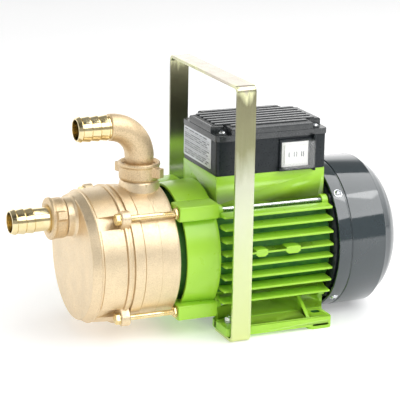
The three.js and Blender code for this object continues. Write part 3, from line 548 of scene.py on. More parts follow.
def clear_cover():
    f = Finish("clear_cover", (0.95, 0.96, 0.96), 0.06, 0.0, Alpha=0.1)
    f.relief(f.noise(160, 2), 0.12, 0.15)
    return f.material


def silver_foil():
    f = Finish("silver_foil", (0.62, 0.64, 0.66), 0.34, 0.55)
    brushed = f.noise(1, 3, 0.6, f.stretched((200.0, 30.0, 2400.0)))
    f.set("Base Color", f.ramp(brushed, (0.3, (0.55, 0.57, 0.6)), (0.7, (0.7, 0.72, 0.74))))
    f.set("Roughness", f.range(brushed, 0.28, 0.44))
    f.relief(f.noise(60, 2), 0.1, 0.12)
    return f.material


CAST_BRASS = cast_brass("cast_brass", (0.85, 0.70, 0.48), (0.56, 0.41, 0.23), 1100, 0.3)
ROUGH_BRASS = cast_brass("rough_brass", (0.80, 0.63, 0.40), (0.36, 0.24, 0.12), 900, 0.6)
MACHINED_BRASS = machined_brass()
GREEN = green_enamel()
# Enamel down between the fins, in the bracket recess and on the foot slot walls: dulled, and darkened as
# painted shade, a dark green standing for the shade that falls in these recesses.
PAINTED_SHADE_GREEN = plain(
    "painted_shade_green", (0.05, 0.22, 0.03), 0.55,
    tones=((70, 4, 0.6), (0.3, (0.025, 0.15, 0.04)), (0.7, (0.08, 0.30, 0.03))),
    relief=((900, 3), 0.2, 0.1), grain=((200, 3), 0.45, 0.65),
)
GLOSS = plain(
    "gloss_black", (0.012, 0.017, 0.02), 0.07,
    tones=((60, 3), (0.3, (0.018, 0.031, 0.037)), (0.7, (0.026, 0.040, 0.047))),
    relief=((1100, 2), 0.03, 0.05), grain=((220, 4, 0.6), 0.06, 0.13),
    IOR=1.7, Coat_Weight=0.6, Coat_Roughness=0.05, Coat_IOR=1.5,
)
SATIN = satin_black()
LID_PLASTIC = worn_lid()
YELLOW_ZINC = yellow_zinc()
STRAP_ZINC = strap_zinc()
GOLD_ZINC = gold_zinc()
ZINC = plain(
    "bright_zinc", (0.72, 0.74, 0.76), 0.22,
    tones=((200, 4), (0.3, (0.62, 0.65, 0.68)), (0.7, (0.8, 0.81, 0.82))),
    relief=((900, 3), 0.15, 0.06), grain=((600, 3), 0.16, 0.34), metallic=1.0,
)
STEEL = ground_steel()
COPPER = copper_winding()
RUBBER = plain(
    "black_rubber", (0.02, 0.02, 0.021), 0.7,
    tones=((300, 3), (0.3, (0.015, 0.015, 0.016)), (0.7, (0.03, 0.03, 0.031))), relief=((900, 3), 0.3, 0.1),
)
RESIN = plain(
    "filled_resin", (0.025, 0.028, 0.03), 0.5,
    tones=((420, 4, 0.7), (0.3, (0.02, 0.022, 0.024)), (0.75, (0.04, 0.043, 0.046))),
    relief=((800, 3), 0.2, 0.1), grain=((240, 3), 0.42, 0.6),
)
CERAMIC = plain(
    "lapped_ceramic", (0.8, 0.77, 0.7), 0.2,
    tones=((250, 3), (0.3, (0.76, 0.73, 0.66)), (0.7, (0.84, 0.81, 0.75))), relief=((1200, 2), 0.08, 0.04),
)
WHITE = plain(
    "white_plastic", (0.86, 0.86, 0.84), 0.28,
    tones=((120, 3), (0.3, (0.92, 0.92, 0.89)), (0.7, (0.96, 0.96, 0.94))), relief=((700, 2), 0.08, 0.06),
    Coat_Weight=0.2,
)
CLEAR = clear_cover()
FOIL = silver_foil()
INK = plain(
    "grey_ink", (0.1, 0.11, 0.12), 0.5,
    tones=((900, 3), (0.35, (0.08, 0.09, 0.1)), (0.7, (0.2, 0.21, 0.22))), relief=((1500, 2), 0.1, 0.03),
)

SLOT_FINISH = {
    "cast_brass": CAST_BRASS, "machined_brass": MACHINED_BRASS,
    "yellow_zinc": YELLOW_ZINC, "bright_zinc": ZINC,
    "steel": STEEL, "ceramic": CERAMIC, "copper": COPPER, "rubber": RUBBER, "resin": RESIN,
    "green_paint": GREEN, "black_gloss": GLOSS, "black_satin": SATIN, "clear_cover": CLEAR,
    "white_plastic": WHITE, "label": FOIL,
}


# ---- fasteners
def hex_solid(name, axis, at, start, end, across, chamfer=0.9, chamfer_start=True, chamfer_end=True):
    """A hexagonal head whose corners are turned off at its ends."""
    corner = across / 3 ** 0.5
    hexagon = prism(name, circle((0, 0), corner, 6), axis, start, end, 0, at)
    low = corner - chamfer * 1.3 if chamfer_start else corner + 1
    high = corner - chamfer * 1.3 if chamfer_end else corner + 1
    turned_form = lathe("chamfer", [(start, 0), (start, low), (start + chamfer, corner + 0.1),
                                    (end - chamfer, corner + 0.1), (end, high), (end, 0)], axis, at, 48)
    return boolean(hexagon, [turned_form], "INTERSECT")


def thread_outline(start, end, radius, pitch=1.0, depth=0.35):
    """Radius steps of a thread drawn as close rings."""
    count = int(abs(end - start) / pitch)
    step = (end - start) / count
    points = []
    for i in range(count):
        points.append((start + step * i, radius - depth))
        points.append((start + step * (i + 0.5), radius))
    points.append((end, radius - depth))
    return points


def pan_head(name, axis, at, seat, height, radius, turn=0.0):
    """A pan head screw with a cross recess; height is signed along the axis."""
    top = seat + height
    head = lathe(name, [(seat, 0), (seat, radius, 0.2), (seat + height * 0.45, radius, abs(height) * 0.5),
                        (top, radius * 0.45, radius * 0.3), (top, 0)], axis, at, 48)
    depth = height * 0.62
    arms = []
    for u, v in ((radius * 0.62, radius * 0.16), (radius * 0.16, radius * 0.62)):
        low, high = sorted((top - depth, top + height))
        arm = prism("arm", rectangle((-u, u), (-v, v)), axis, low, high, 0, at)
        arms.append(turned(arm, turn, axis, at))
    return carve(head, *arms)


# ---- brass pump end
def cover_lug(corner, x):
    """One rounded corner of the joint flange, blended towards the drum."""
    _, y, z = corner_point(corner, BOLT)
    chamfer = 0.9
    stations = ((x[0], chamfer), (x[0] + chamfer, 0), (x[1] - chamfer, 0), (x[1], chamfer))
    points = []
    for share, radius in ((1.0, 7.8), (0.74, 9.8)):
        centre = (y * share, SHAFT_Z + (z - SHAFT_Z) * share)
        points += [(along, u, v) for along, trim in stations for u, v in circle(centre, radius - trim, 40)]
    return hull("lug", points)


def front_cover():
    d = DRUM
    end = d.joint - SEAT_GAP
    inner = d.radius - d.wall - 3
    body = lathe("body", [
        (d.front, 0), (d.front, d.face_radius, 0.9), (d.shoulder - 0.9, d.crown - 0.7),
        (d.shoulder - 0.4, d.crown + 0.6, 0.3), (d.shoulder + 0.6, d.crown + 0.6, 0.3),
        (d.shoulder + 0.9, d.crown - 0.7), (d.shoulder + 1.6, d.crown - 0.7),
        (d.shoulder + 1.9, d.crown + 0.1), (d.lip - 1.6, d.flange - 1.9),
        (d.lip - 1.3, d.flange - 2.7), (d.lip - 0.8, d.flange - 2.7),
        (d.lip - 0.3, d.flange + 0.1, 0.5), (d.lip + 2.6, d.flange + 0.1, 0.6),
        (end - 1.7, d.flange - 2.4, 0.2), (end, d.flange - 2.4), (end, inner),
        (d.front + 10, inner - 2), (d.front + d.wall, d.face_radius - 8), (d.front + d.wall, 0),
    ], segments=160)
    pockets = []
    start, stop = d.shoulder + 1.6, d.lip - 4.0
    for side, level in CORNERS:
        pocket = hull("pocket", [(x, u, v) for x, floor in ((start, 65.3), (stop, 61.8))
                                 for u in (-7.4, 7.4) for v in (floor, 84)])
        pocket.data.transform(Matrix.Translation((0, 0, SHAFT_Z * MM)))
        pockets.append(turned(pocket, atan2(level * BOLT.rise, side * BOLT.y) - pi / 2, "X", AXIS))
    carve(body, *pockets)
    cavity = lathe("cavity", [(d.front + d.wall, 0), (d.front + d.wall, d.face_radius - 8),
                              (d.front + 10, inner - 2), (end + 1, inner), (end + 1, 0)], segments=160)
    lugs = gather("lugs", [cover_lug(corner, (d.lip - 4.2, end)) for corner in CORNERS])
    carve(lugs, cavity, *corner_holes(BOLT, -130, -80))
    at = (0, 0, INLET_Z)
    port = lathe("port", [
        (INLET_NUT.front + 7.6, 0), (INLET_NUT.front + 7.6, PORT.thread, 0.4),
        *thread_outline(INLET_NUT.front + 9, INLET_NUT.rear - 1, PORT.thread + 0.2, PORT.pitch, PORT.depth),
        (INLET_NUT.rear + 0.6, PORT.thread - 0.4), (INLET_NUT.rear + 0.6, PORT.spigot, 0.5),
        (d.front - 2.2, PORT.spigot + 0.1, 1), (d.front - 0.2, PORT.spigot + 2.2, 1),
        (d.front + 1, PORT.spigot + 2.2), (d.front + 1, 0),
    ], at=at, segments=96)
    skin = fuse("cover_casting", body, lugs, port)
    carve(skin, rod("bore", "X", at, INLET_NUT.front, d.front + 12, PORT.bore + 1, 0, 64))
    present(skin, CAST_BRASS, stands_for=["front_cover"], sharp=28)


def rear_casing():
    d = DRUM
    start = d.joint + SEAT_GAP
    inner = d.radius - d.wall
    body = lathe("body", [
        (start, inner), (start, d.flange - 3), (start + 0.9, d.flange - 3),
        (start + 1.4, d.flange - 0.7, 0.4), (d.step, d.flange - 1.1, 0.3),
        (d.step + 0.3, d.radius - 0.7), (d.step + 1.0, d.radius - 0.7), (d.step + 1.3, d.radius),
        (d.rear - 2.6, d.radius + 0.2, 0.5),
        (d.rear - 1.4, d.radius + 0.6, 0.6), (d.rear, d.radius - 0.4, 0.5), (d.rear, 14),
        (d.rear - d.wall, 14), (d.rear - d.wall, inner),
    ], segments=160)
    at = (OUTLET_X, 0, 0)
    neck = lathe("neck", [
        (SHAFT_Z + 50, 0), (SHAFT_Z + 50, PORT.spigot + 5), (SHAFT_Z + 65.5, PORT.spigot + 1.8, 3),
        (OUTLET_NUT.low - 2.2, PORT.spigot + 0.2, 0.6), (OUTLET_NUT.low - 0.6, PORT.spigot - 0.8, 0.3),
        (OUTLET_NUT.low - 0.6, PORT.thread - 0.4),
        *thread_outline(OUTLET_NUT.low + 0.6, OUTLET_NUT.top - 10, PORT.thread + 0.2,
                        PORT.pitch, PORT.depth),
        (OUTLET_NUT.top - 9, 0),
    ], "Z", at, 96)
    cavity = rod("cavity", "X", AXIS, d.joint - 1, d.rear - d.wall, inner, 0, 128)
    beyond = block("beyond", (d.rear, d.rear + 20), (-40, 40), (SHAFT_Z, OUTLET_NUT.low + 30), 0)
    carve(neck, cavity, beyond)
    seam = tube("seam", "X", AXIS, OUTLET_X - 0.3, OUTLET_X + 0.3, d.radius + 0.35, d.radius - 1, 0.1, 160)
    neck_seam = block("seam", (OUTLET_X - 0.3, OUTLET_X + 0.3), (-PORT.spigot - 0.5, PORT.spigot + 0.5),
                      (SHAFT_Z + 66, OUTLET_NUT.low - 2.4), 0.1)
    skin = fuse("casing_casting", body, neck, seam, neck_seam)
    carve(skin, rod("bore", "Z", at, SHAFT_Z + 40, OUTLET_NUT.top, PORT.bore + 1, 0, 64))
    present(skin, CAST_BRASS, stands_for=["rear_casing"], sharp=28)


def barbs(crests, foot):
    """Saw-tooth barbs from the mouth inwards, then a plain run to the foot."""
    points = []
    for crest in crests:
        points += [(crest, TAIL.barb, 0.12), (crest + 0.2, TAIL.root - 0.7), (crest + 1.1, TAIL.root - 0.7),
                   (crest + 1.3, TAIL.root)]
    return [*points, (foot, TAIL.root)]


def inlet_tail():
    foot = INLET_NUT.front + NUT.lip + 0.3
    crests = [MOUTH_X + 4.7 + 8.6 * i for i in range(3)]
    tail = lathe("inlet_tail", [
        (MOUTH_X, TAIL.bore, 0.3), (MOUTH_X, TAIL.mouth, 0.4), *barbs(crests, foot - 6),
        (foot - 4, TAIL.root + 0.3), (foot, TAIL.root + 0.3), (foot, PORT.thread),
        (foot + 2.4, PORT.thread), (foot + 2.4, TAIL.bore),
    ], at=(0, 0, INLET_Z), segments=128)
    present(tail, MACHINED_BRASS, stands_for=["suction_hose_tail"])


def union_nut(name, axis, at, open_end, closed_end, turn, collar, body, node):
    """A cast union nut: a round ring with a rolled lip and two blunt spanner lugs."""
    inward = 1 if closed_end > open_end else -1
    lip = closed_end - inward * NUT.lip
    ring = lathe("ring", [
        (open_end, NUT.bore, 0.3), (open_end, NUT.radius - 0.9, 0.6),
        (open_end + inward * 2.4, NUT.radius - 0.2, 0.6), (closed_end - inward * 4.4, NUT.radius - 0.3, 0.5),
        (closed_end - inward * 3.2, NUT.radius + 0.7, 0.7), (closed_end, NUT.radius + 0.3, 1.6),
        (closed_end, collar + 2.2, 0.5), (closed_end - inward * 2.6, collar + 0.5),
        (lip, collar), (lip, NUT.bore),
    ], axis, at, 96)
    middle = (open_end + closed_end) / 2
    lugs = []
    for turn_by in (0, 180):
        lug = hull("lug", [(r, u, v) for r, half in ((18.6, 5.2), (NUT.reach - 0.2, 3.7))
                           for u in (-half, half) for v in (-4.6, 4.6)])
        angle = radians(turn + turn_by)
        rotation = Euler((0, 0, angle)).to_matrix().to_4x4()
        if axis == "X":
            rotation = Euler((0, pi / 2, 0)).to_matrix().to_4x4() @ rotation
        centre = (middle, at[1], at[2]) if axis == "X" else (at[0], at[1], middle)
        lug.data.transform(Matrix.Translation(Vector(centre) * MM) @ rotation)
        lugs.append(lug)
    skin = casting(name, [ring, *lugs], 0.5, 2)
    present(skin, ROUGH_BRASS, body, [node], sharp=60)


def outlet_elbow():
    """The cast bend with its flange, and the turned hose tail."""
    bend, z = ELBOW.bend, ELBOW.z
    flange = OUTLET_NUT.top - NUT.lip - 0.3
    turn_z = z - bend
    straight = [((OUTLET_X, flange - 2.4 + s), 0.0, 15.9) for s in (0.0, 2.2)]
    straight += [((OUTLET_X, flange + 1.2), 0.0, 13.9), ((OUTLET_X, turn_z - 1), 0.0, 14.4)]
    curve = []
    steps = 28
    for i in range(steps + 1):
        angle = pi / 2 * i / steps
        centre = (OUTLET_X - bend + bend * cos(angle), turn_z + bend * sin(angle))
        curve.append((centre, angle, ELBOW.radius - ELBOW.taper * i / steps))
    end = [((OUTLET_X - bend - 0.9, z), pi / 2, 13.4), ((OUTLET_X - bend - 1.2, z), pi / 2, 13.1)]
    stations = straight + curve + end

    def ring(centre, angle, radius, count=72):
        return [(centre[0] + radius * cos(angle) * cos(2 * pi * i / count), radius * sin(2 * pi * i / count),
                 centre[1] + radius * sin(angle) * cos(2 * pi * i / count)) for i in range(count)]

    outer = [ring(*station) for station in stations]
    inner = [ring(centre, angle, PORT.bore) for centre, angle, _ in reversed(stations)]
    pipe = loft("outlet_elbow_pipe", outer + inner, closed=True)
    collar = tube("collar", "Z", (OUTLET_X, 0, 0), flange - 2.4, flange, PORT.thread, PORT.bore + 0.4, 0.3)
    pipe = gather("outlet_elbow_pipe", [pipe, collar])
    present(pipe, ROUGH_BRASS, "outlet_elbow", ["discharge_elbow"], sharp=50)
    crests = [OUTLET_MOUTH_X + 4.0 + 9.0 * i for i in range(4)]
    foot = OUTLET_X - bend - 1.0
    tail = lathe("outlet_tail", [
        (OUTLET_MOUTH_X, TAIL.bore, 0.3), (OUTLET_MOUTH_X, TAIL.mouth, 0.4), *barbs(crests, foot),
        (foot, TAIL.bore + 0.1),
    ], at=(0, 0, z), segments=128)
    present(tail, MACHINED_BRASS, "outlet_elbow")


def casing_bolts():
    for i, corner in enumerate(CORNERS):
        at = corner_point(corner, BOLT)
        head = BOLT.head
        hexagon = hex_solid("head", "X", at, head, head + 4.2, BOLT.across, chamfer_end=False)
        seat = DRUM.lip - 4.2
        shank = lathe("shank", [
            (head + 4.0, 0), (head + 4.0, 5.9, 0.2), (seat - 0.1, 5.9, 0.2), (seat - 0.1, BOLT.radius),
            (-60, BOLT.radius, 0.2), (-59.4, BOLT.radius - 0.2),
            *thread_outline(-58, BOLT.end, BOLT.radius), (BOLT.end, 0),
        ], at=at, segments=40)
        nut = hex_solid("nut", "X", at, BOLT.nut, BOLT.nut + 2.6, BOLT.across)
        washer_end = BRACKET.neck_front - SEAT_GAP
        washer = tube("washer", "X", at, BOLT.nut + 2.6, washer_end, 6, BOLT.radius + 0.1, 0.1)
        bolt = gather(f"casing_bolt_fine_{i + 1}", [hexagon, shank, nut, washer])
        present(bolt, GOLD_ZINC, stands_for=[f"casing_bolt_{i + 1}"])


# ---- green castings
def paint_shade(skin, in_shade):
    """Gives the painted shade finish, a dark green that stands for shade in recesses, to the faces that a
    test picks by place, reach from the shaft and normal.
    """
    skin.data.materials.append(PAINTED_SHADE_GREEN)
    for face in skin.data.polygons:
        x, y, z = (value / MM for value in face.center)
        if in_shade(x, y, z, hypot(y, z - SHAFT_Z), face.normal):
            face.material_index = 1


def motor_bracket():
    b = BRACKET
    drum = lathe("drum", [
        (b.neck_front, 17), (b.neck_front, b.recess, 0.8), (b.front + 14, b.recess, 2),
        (b.front + 14, b.radius - 4, 2), (b.front, b.radius - 2.6, 0.3), (b.front, b.radius, 0.8),
        (b.rear - 6, b.rear_radius - 0.5, 2), (b.rear - 3, b.rear_radius, 1), (b.rear, b.rear_radius, 0.5),
        (b.rear, 20), (b.rear - 5, 20), (b.rear - 5, b.recess - 5),
        (b.neck_front + 5, b.recess - 5), (b.neck_front + 5, 17),
    ], segments=160)
    cavity = lathe("cavity", [(b.neck_front + 5, 0), (b.neck_front + 5, b.recess - 5),
                              (b.rear - 5, b.recess - 5), (b.rear - 5, 0)], segments=160)
    lugs = []
    for side, level in CORNERS:
        z = SHAFT_Z + level * BOLT.rise
        y = sorted((side * 36, side * 61))
        outline = rectangle(y, (z - 7.6, z + 7.6), 2.6)
        lugs.append(prism("lug", outline, "X", b.neck_front + 0.4, b.rear - 1, 0.8))
    lugs = carve(gather("lugs", lugs), cavity, *corner_holes(BOLT, b.neck_front - 2, BOLT.end + 1))
    skin = fuse("bracket_casting", drum, lugs)
    present(skin, GREEN, stands_for=["motor_bracket"], sharp=24)
    # The faces inside the bracket's front recess get the dark green painted shade.
    paint_shade(skin, lambda x, y, z, reach, normal: reach < b.radius - 2.7 and x > b.neck_front + 1)


def fin(side, z, tip, x):
    """One cooling fin: thicker at its root, with a rounded tip and rounded ends."""
    root = MOTOR.radius - 6
    rings = []
    layers = ((root, 2.3, 0.0), (tip - 6, 1.7, 0.0), (tip - 1.2, 1.35, 0.4),
              (tip - 0.3, 0.9, 1.3), (tip, 0.3, 2.4))
    for reach, half, trim in layers:
        a, b = x[0] + trim, x[1] - trim
        outline = soften(rectangle((a, b), (z - half, z + half), half * 0.9), steps=3)
        rings.append([(u, side * reach, v) for u, v in outline])
    return loft("fin", rings, capped=True)


def motor_housing():
    m, f = MOTOR, FOOT
    body = tube("barrel", "X", AXIS, m.front, m.rear, m.radius, m.bore, 0.6, 160)
    x = (m.front + 2.2, m.rear - 1.2)
    parts = []
    for side in (-1, 1):
        for height in FIN_HEIGHTS:
            tip = (m.fin_tip ** 2 - (height * 0.62) ** 2) ** 0.5
            parts.append(fin(side, SHAFT_Z + height, tip, x))
        for x0, x1, z in ((33, 46, 7.4), (66, 82, 7.4)):
            boss = prism("boss", [(x0, 5.2), (x0 + 3, z - 4.4), (x1 - 3, z - 4.4), (x1, 5.2), (x1, 10.0),
                                  (x1 - 3, 10.8), (x0 + 3, 10.8), (x0, 10.0)], "Y",
                         *sorted((side * m.radius, side * (m.fin_tip - 0.4))), 0.5, (0, 0, SHAFT_Z))
            parts.append(boss)
    web_low, web_high = f.web - 5, f.web
    for side in (-1, 1):
        y = sorted((side * web_low, side * web_high))
        parts.append(block("web", (f.front, m.rear - 0.6), y, (f.low + 1, SHAFT_Z - 36), 0.8))
        plate = sorted((side * (f.web - 12), side * f.half))
        parts.append(prism("plate", rectangle((f.front, f.rear), plate, 4.5), "Z", f.low, f.top, 1.0))
        parts.append(prism("pad", rectangle((f.rear - f.pad, f.rear), plate, 4.5), "Z", 0, f.low + 2,
                           0.9))
        for x0, x1 in ((24, 28), (91, 95)):
            parts.append(prism("gusset", [
                (side * (f.web - 1), f.top - 1), (side * (f.half - 5), f.top - 1),
                (side * (f.half - 5), f.top + 0.6, 0.5), (side * (f.web - 1), f.top + 17),
            ], "X", x0, x1, 0.9))
        parts.append(block("fillet", (f.front + 0.5, m.rear - 1), sorted((side * 46, side * 51)),
                           (f.top - 3, f.top + 1.6), 1.4))
    pedestal = block("pedestal", (f.front, m.rear), (-PEDESTAL.half, PEDESTAL.half),
                     (SHAFT_Z + 30, PEDESTAL.top), 1.2)
    parts.append(pedestal)
    for side, level in CORNERS:
        at = (0, side * (TIE.y - 2.4), SHAFT_Z + level * (TIE.rise - 2.4))
        for x0, x1 in ((m.front, m.front + 7), (m.rear - 7, m.rear)):
            parts.append(rod("end_boss", "X", at, x0, x1, 7, 0.8))
    skin = fuse("housing_casting", body, *parts)
    bore = rod("bore", "X", AXIS, m.front - 1, m.rear + 1, m.bore, 0, 160)
    at = (WIREWAY.x, 0, 0)
    cuts = [bore, rod("wireway", "Z", at, SHAFT_Z + 50, PEDESTAL.top + 1, WIREWAY.radius, 0, 32)]
    for side in (-1, 1):
        for x in SLOT.x:
            outline = slot_outline(x, side * SLOT.y, SLOT.length, SLOT.width)
            cuts.append(prism("slot", outline, "Z", -1, f.top + 1, 0))
    carve(skin, *cuts, *corner_holes(TIE, m.front - 1, m.rear + 1, 24))
    present(skin, GREEN, stands_for=["motor_housing"], sharp=14)

    # Painted shade: the barrel between the fins and the walls of the foot slots get the dark green that
    # stands for the shade falling there.
    def in_shade(x, y, z, reach, normal):
        in_slot = z < f.top - 0.5 and any(hypot(x - at, abs(y) - SLOT.y) < SLOT.grime for at in SLOT.x)
        return (reach < m.radius + 0.4 and abs(normal.x) < 0.3) or (in_slot and abs(normal.z) < 0.3)

    paint_shade(skin, in_shade)


def tie_rods():
    for i, corner in enumerate(CORNERS):
        at = corner_point(corner, TIE)
        front, rear = MOTOR.front + 0.3, MOTOR.rear
        stud = lathe("stud", [
            (front, 0), (front, TIE.radius, 0.3), (front + 20, TIE.radius, 0.1),
            (front + 21, TIE.radius - 0.15), (rear - 12, TIE.radius - 0.15),
            *thread_outline(rear - 11, rear + 9.6, TIE.radius, 0.8, 0.25), (rear + 9.8, 0),
        ], at=at, segments=32)
        nut = hex_solid("nut", "X", at, rear + 6.8, rear + 9.2, TIE.across)
        present(gather(f"tie_rod_fine_{i + 1}", [stud, nut]), ZINC,
                stands_for=[f"motor_tie_rod_{i + 1}"])


# ---- black rear end
def rear_shield():
    rear = MOTOR.rear
    disc = lathe("disc", [
        (rear + 0.3, 22), (rear + 0.3, 68, 0.6), (rear + 2.6, 71, 0.6), (rear + 6.4, 71.2, 0.6),
        (rear + 6.4, 22),
    ], segments=128)
    cup = tube("cup", "X", AXIS, rear - 14, rear + 6.4, 22.5, 18.3, 0.5, 64)
    places = [corner_point(corner, TIE) for corner in CORNERS]
    ears = [rod("ear", "X", at, rear + 0.3, rear + 6.5, 5.6, 0.5) for at in places]
    shield = fuse("rear_shield_plate", disc, cup, *ears)
    present(shield, SATIN, stands_for=["rear_shield"])


def fan_cover():
    c = FAN
    radius, edge, wall = c.radius, c.edge, c.wall
    shell = lathe("fan_cover_shell", [
        (REAR_X - 1.2 - wall, 0), (REAR_X - wall, 14), (REAR_X - wall, c.rear_radius - 2.6),
        (edge + 14, radius - 16.2, 2), (edge + 7, radius - 9, 2), (edge - 2, radius - wall - 0.6, 1.5),
        (c.front, radius - wall, 0.3), (c.front, radius - 0.2, 0.7), (c.collar - 0.9, radius - 0.2, 0.3),
        (c.collar - 0.3, radius - 0.9), (c.collar + 0.5, radius - 0.9), (c.collar + 1.1, radius, 0.4),
        (edge - 0.3, radius, 0.7), (edge, radius - 2.6, 0.4), (edge + 9, radius - 7, 3),
        (edge + 16, radius - 13.8, 3),
        (REAR_X - 1.8, c.rear_radius + 2.2, 1.2), (REAR_X, c.rear_radius - 0.4, 1.2), (REAR_X, 14, 0.4),
        (REAR_X - 1.2, 12, 0.3), (REAR_X - 1.2, 0),
    ], segments=192)
    slots = []
    outline = [(v, u) for u, v in slot_outline(34, 0, 28, 5)]
    for i in range(c.slots):
        slot = prism("slot", outline, "X", REAR_X - 5, REAR_X + 3, 0, AXIS)
        slots.append(turned(slot, 2 * pi * i / c.slots, "X", AXIS))
    holes = []
    for side, level in CORNERS:
        hole = rod("hole", "Z", (c.front + 7, 0, 0), SHAFT_Z + 60, SHAFT_Z + 84, 1.9, 0, 24)
        holes.append(turned(hole, atan2(level, side) - pi / 2, "X", AXIS))
    carve(shell, *slots, *holes)
    present(shell, GLOSS, stands_for=["fan_cover"])
    for i, (side, level) in enumerate(CORNERS):
        at = (c.front + 7, 0, 0)
        head = pan_head("head", "Z", at, SHAFT_Z + radius - 0.1, 2.6, 3.6, 0.4 + i)
        washer = tube("washer", "Z", at, SHAFT_Z + radius - 0.25, SHAFT_Z + radius + 0.15, 4.4, 1.7, 0.1)
        shank = rod("shank", "Z", at, SHAFT_Z + 75, SHAFT_Z + radius, 1.6, 0.1, 24)
        screw = gather(f"cover_screw_fine_{i + 1}", [head, washer, shank])
        turned(screw, atan2(level, side) - pi / 2, "X", AXIS)
        present(screw, ZINC, stands_for=[f"cover_screw_{i + 1}"])


# ---- handle
def handle():
    h = HANDLE
    half, top, thick, bend, tab = h.half, h.top, h.thick, h.bend, h.tab
    inner = bend - thick
    outline = [
        (-tab, 0, 0.3), (-half, 0, bend), (-half, top, bend),
        (half, top, bend), (half, 0, bend), (tab, 0, 0.3),
        (tab, thick, 0.3), (half - thick, thick, inner), (half - thick, top - thick, inner),
        (-half + thick, top - thick, inner), (-half + thick, thick, inner), (-tab, thick, 0.3),
    ]
    strap = prism("strap_bar", soften(outline, steps=8), "X", h.front, h.rear, 0.55, profile=0.5)
    carve(strap, *[rod("hole", "Z", (SLOT.x[0], side * SLOT.y, 0), -1, 5, 3.3, 0) for side in (-1, 1)])
    present(strap, STRAP_ZINC, stands_for=["handle_strap"])
    for i, side in enumerate((-1, 1)):
        at = (SLOT.x[0], side * SLOT.y, 0)
        bolt = lathe(f"handle_bolt_fine_{i + 1}", [
            (0.2, 0), (0.2, h.bolt, 0.2), (FOOT.top + 1, h.bolt),
            *thread_outline(FOOT.top + 2, 19, h.bolt, 0.9, 0.3), (19, 0),
        ], "Z", at, 32)
        present(bolt, ZINC, stands_for=[f"handle_bolt_{i + 1}"])
        nut = hex_solid("nut", "Z", at, FOOT.top + 1.9, FOOT.top + 6.6, h.across)
        washer = tube("washer", "Z", at, FOOT.top + SEAT_GAP, FOOT.top + 1.9, 6.2, 3.3, 0.2)
        stack = gather(f"handle_nut_fine_{i + 1}", [nut, washer])
        present(stack, ZINC, stands_for=[f"handle_nut_{i + 1}"])


# ---- terminal box
SCREW_PLACES = [(x, y) for x in (BOX.front + LID.screw_inset, BOX.rear - LID.screw_inset)
                for y in (-BOX.half + LID.screw_side, BOX.half - LID.screw_side)]
GLAND = (BOX.rear, sum(span("cable_gland", "Y")) / 2, sum(span("cable_gland", "Z")) / 2)
ROCKER_X = sum(span("rocker", "X")) / 2
ROCKER_Z = sum(span("rocker", "Z")) / 2


def around(centre, half):
    """A span of half to each side of a centre."""
    return (centre - half, centre + half)


def box_outline(inset, reach):
    return rectangle((BOX.front + inset, BOX.rear - inset), (-BOX.half + inset, BOX.half - inset), reach)


def terminal_box():
    b = BOX
    base = prism("terminal_box_base", box_outline(0, 3.5), "Z", b.low, b.rim, 0.6)
    hollow = prism("hollow", box_outline(2.6, 2), "Z", b.low + 3, b.rim + 2, 0)
    window = block("window", around(ROCKER_X, WINDOW.half), (-b.half - 1, -b.half + 4),
                   around(ROCKER_Z, WINDOW.rise), 0.5)
    wireway = rod("wireway", "Z", (WIREWAY.x, 0, 0), b.low - 1, b.low + 4, WIREWAY.radius, 0, 32)
    gland_hole = rod("gland_hole", "X", GLAND, b.rear - 5, b.rear + 2, 8.3, 0, 32)
    carve(base, hollow, window, wireway, gland_hole)
    present(base, SATIN, stands_for=["terminal_box"])


def box_lid():
    """The lid: a skirt over the box rim, corner notches for the screws, and a ribbed top."""
    b = BOX
    corner = LID.corner
    skirt = prism("lid", box_outline(-0.9, 4), "Z", b.rim + 0.25, b.floor, 0.5)
    x0, x1, half = b.front - 0.6, b.rear + 0.6, b.half + 0.6
    cross = [
        (x0 + corner, -half), (x1 - corner, -half), (x1 - corner, -half + corner, 2), (x1, -half + corner),
        (x1, half - corner), (x1 - corner, half - corner, 2), (x1 - corner, half), (x0 + corner, half),
        (x0 + corner, half - corner, 2), (x0, half - corner),
        (x0, -half + corner), (x0 + corner, -half + corner, 2),
    ]
    raised = prism("raised", cross, "Z", b.floor - 1, b.top - 1.2, 2.2, steps=3)
    ribs = []
    for i in range(LID.ribs):
        y = (i - (LID.ribs - 1) / 2) * LID.pitch
        clear = corner + 3 if abs(y) > half - corner - 3 else 6
        outline = rectangle((x0 + clear, x1 - clear), around(y, LID.rib_half), 1.2)
        ribs.append(prism("rib", outline, "Z", b.top - 2.4, b.top, 0.7))
    posts = [rod("post", "Z", (x, y, 0), b.floor - 1, b.floor + 0.9, 5.2, 0.4) for x, y in SCREW_PLACES]
    lid = fuse("lid_shell", skirt, raised, *ribs, *posts)
    under = block("under", (b.front + 19, b.rear - 19), (-b.half + 4, b.half - 4),
                  (b.rim - 1, b.top - 4), 0)
    holes = [rod("hole", "Z", (x, y, 0), b.rim - 1, b.floor + 3, 2.1, 0, 24) for x, y in SCREW_PLACES]
    carve(lid, under, *holes)
    present(lid, LID_PLASTIC, stands_for=["box_lid", "lid_gasket"])
    for i, (x, y) in enumerate(SCREW_PLACES):
        at = (x, y, 0)
        head = pan_head("head", "Z", at, b.floor + 0.9, 2.3, 3.6, 0.7 * i)
        shank = rod("shank", "Z", at, b.rim - 12, b.floor + 1.2, 1.8, 0.1, 24)
        present(gather(f"lid_screw_fine_{i + 1}", [head, shank]), ZINC,
                stands_for=[f"lid_screw_{i + 1}"])


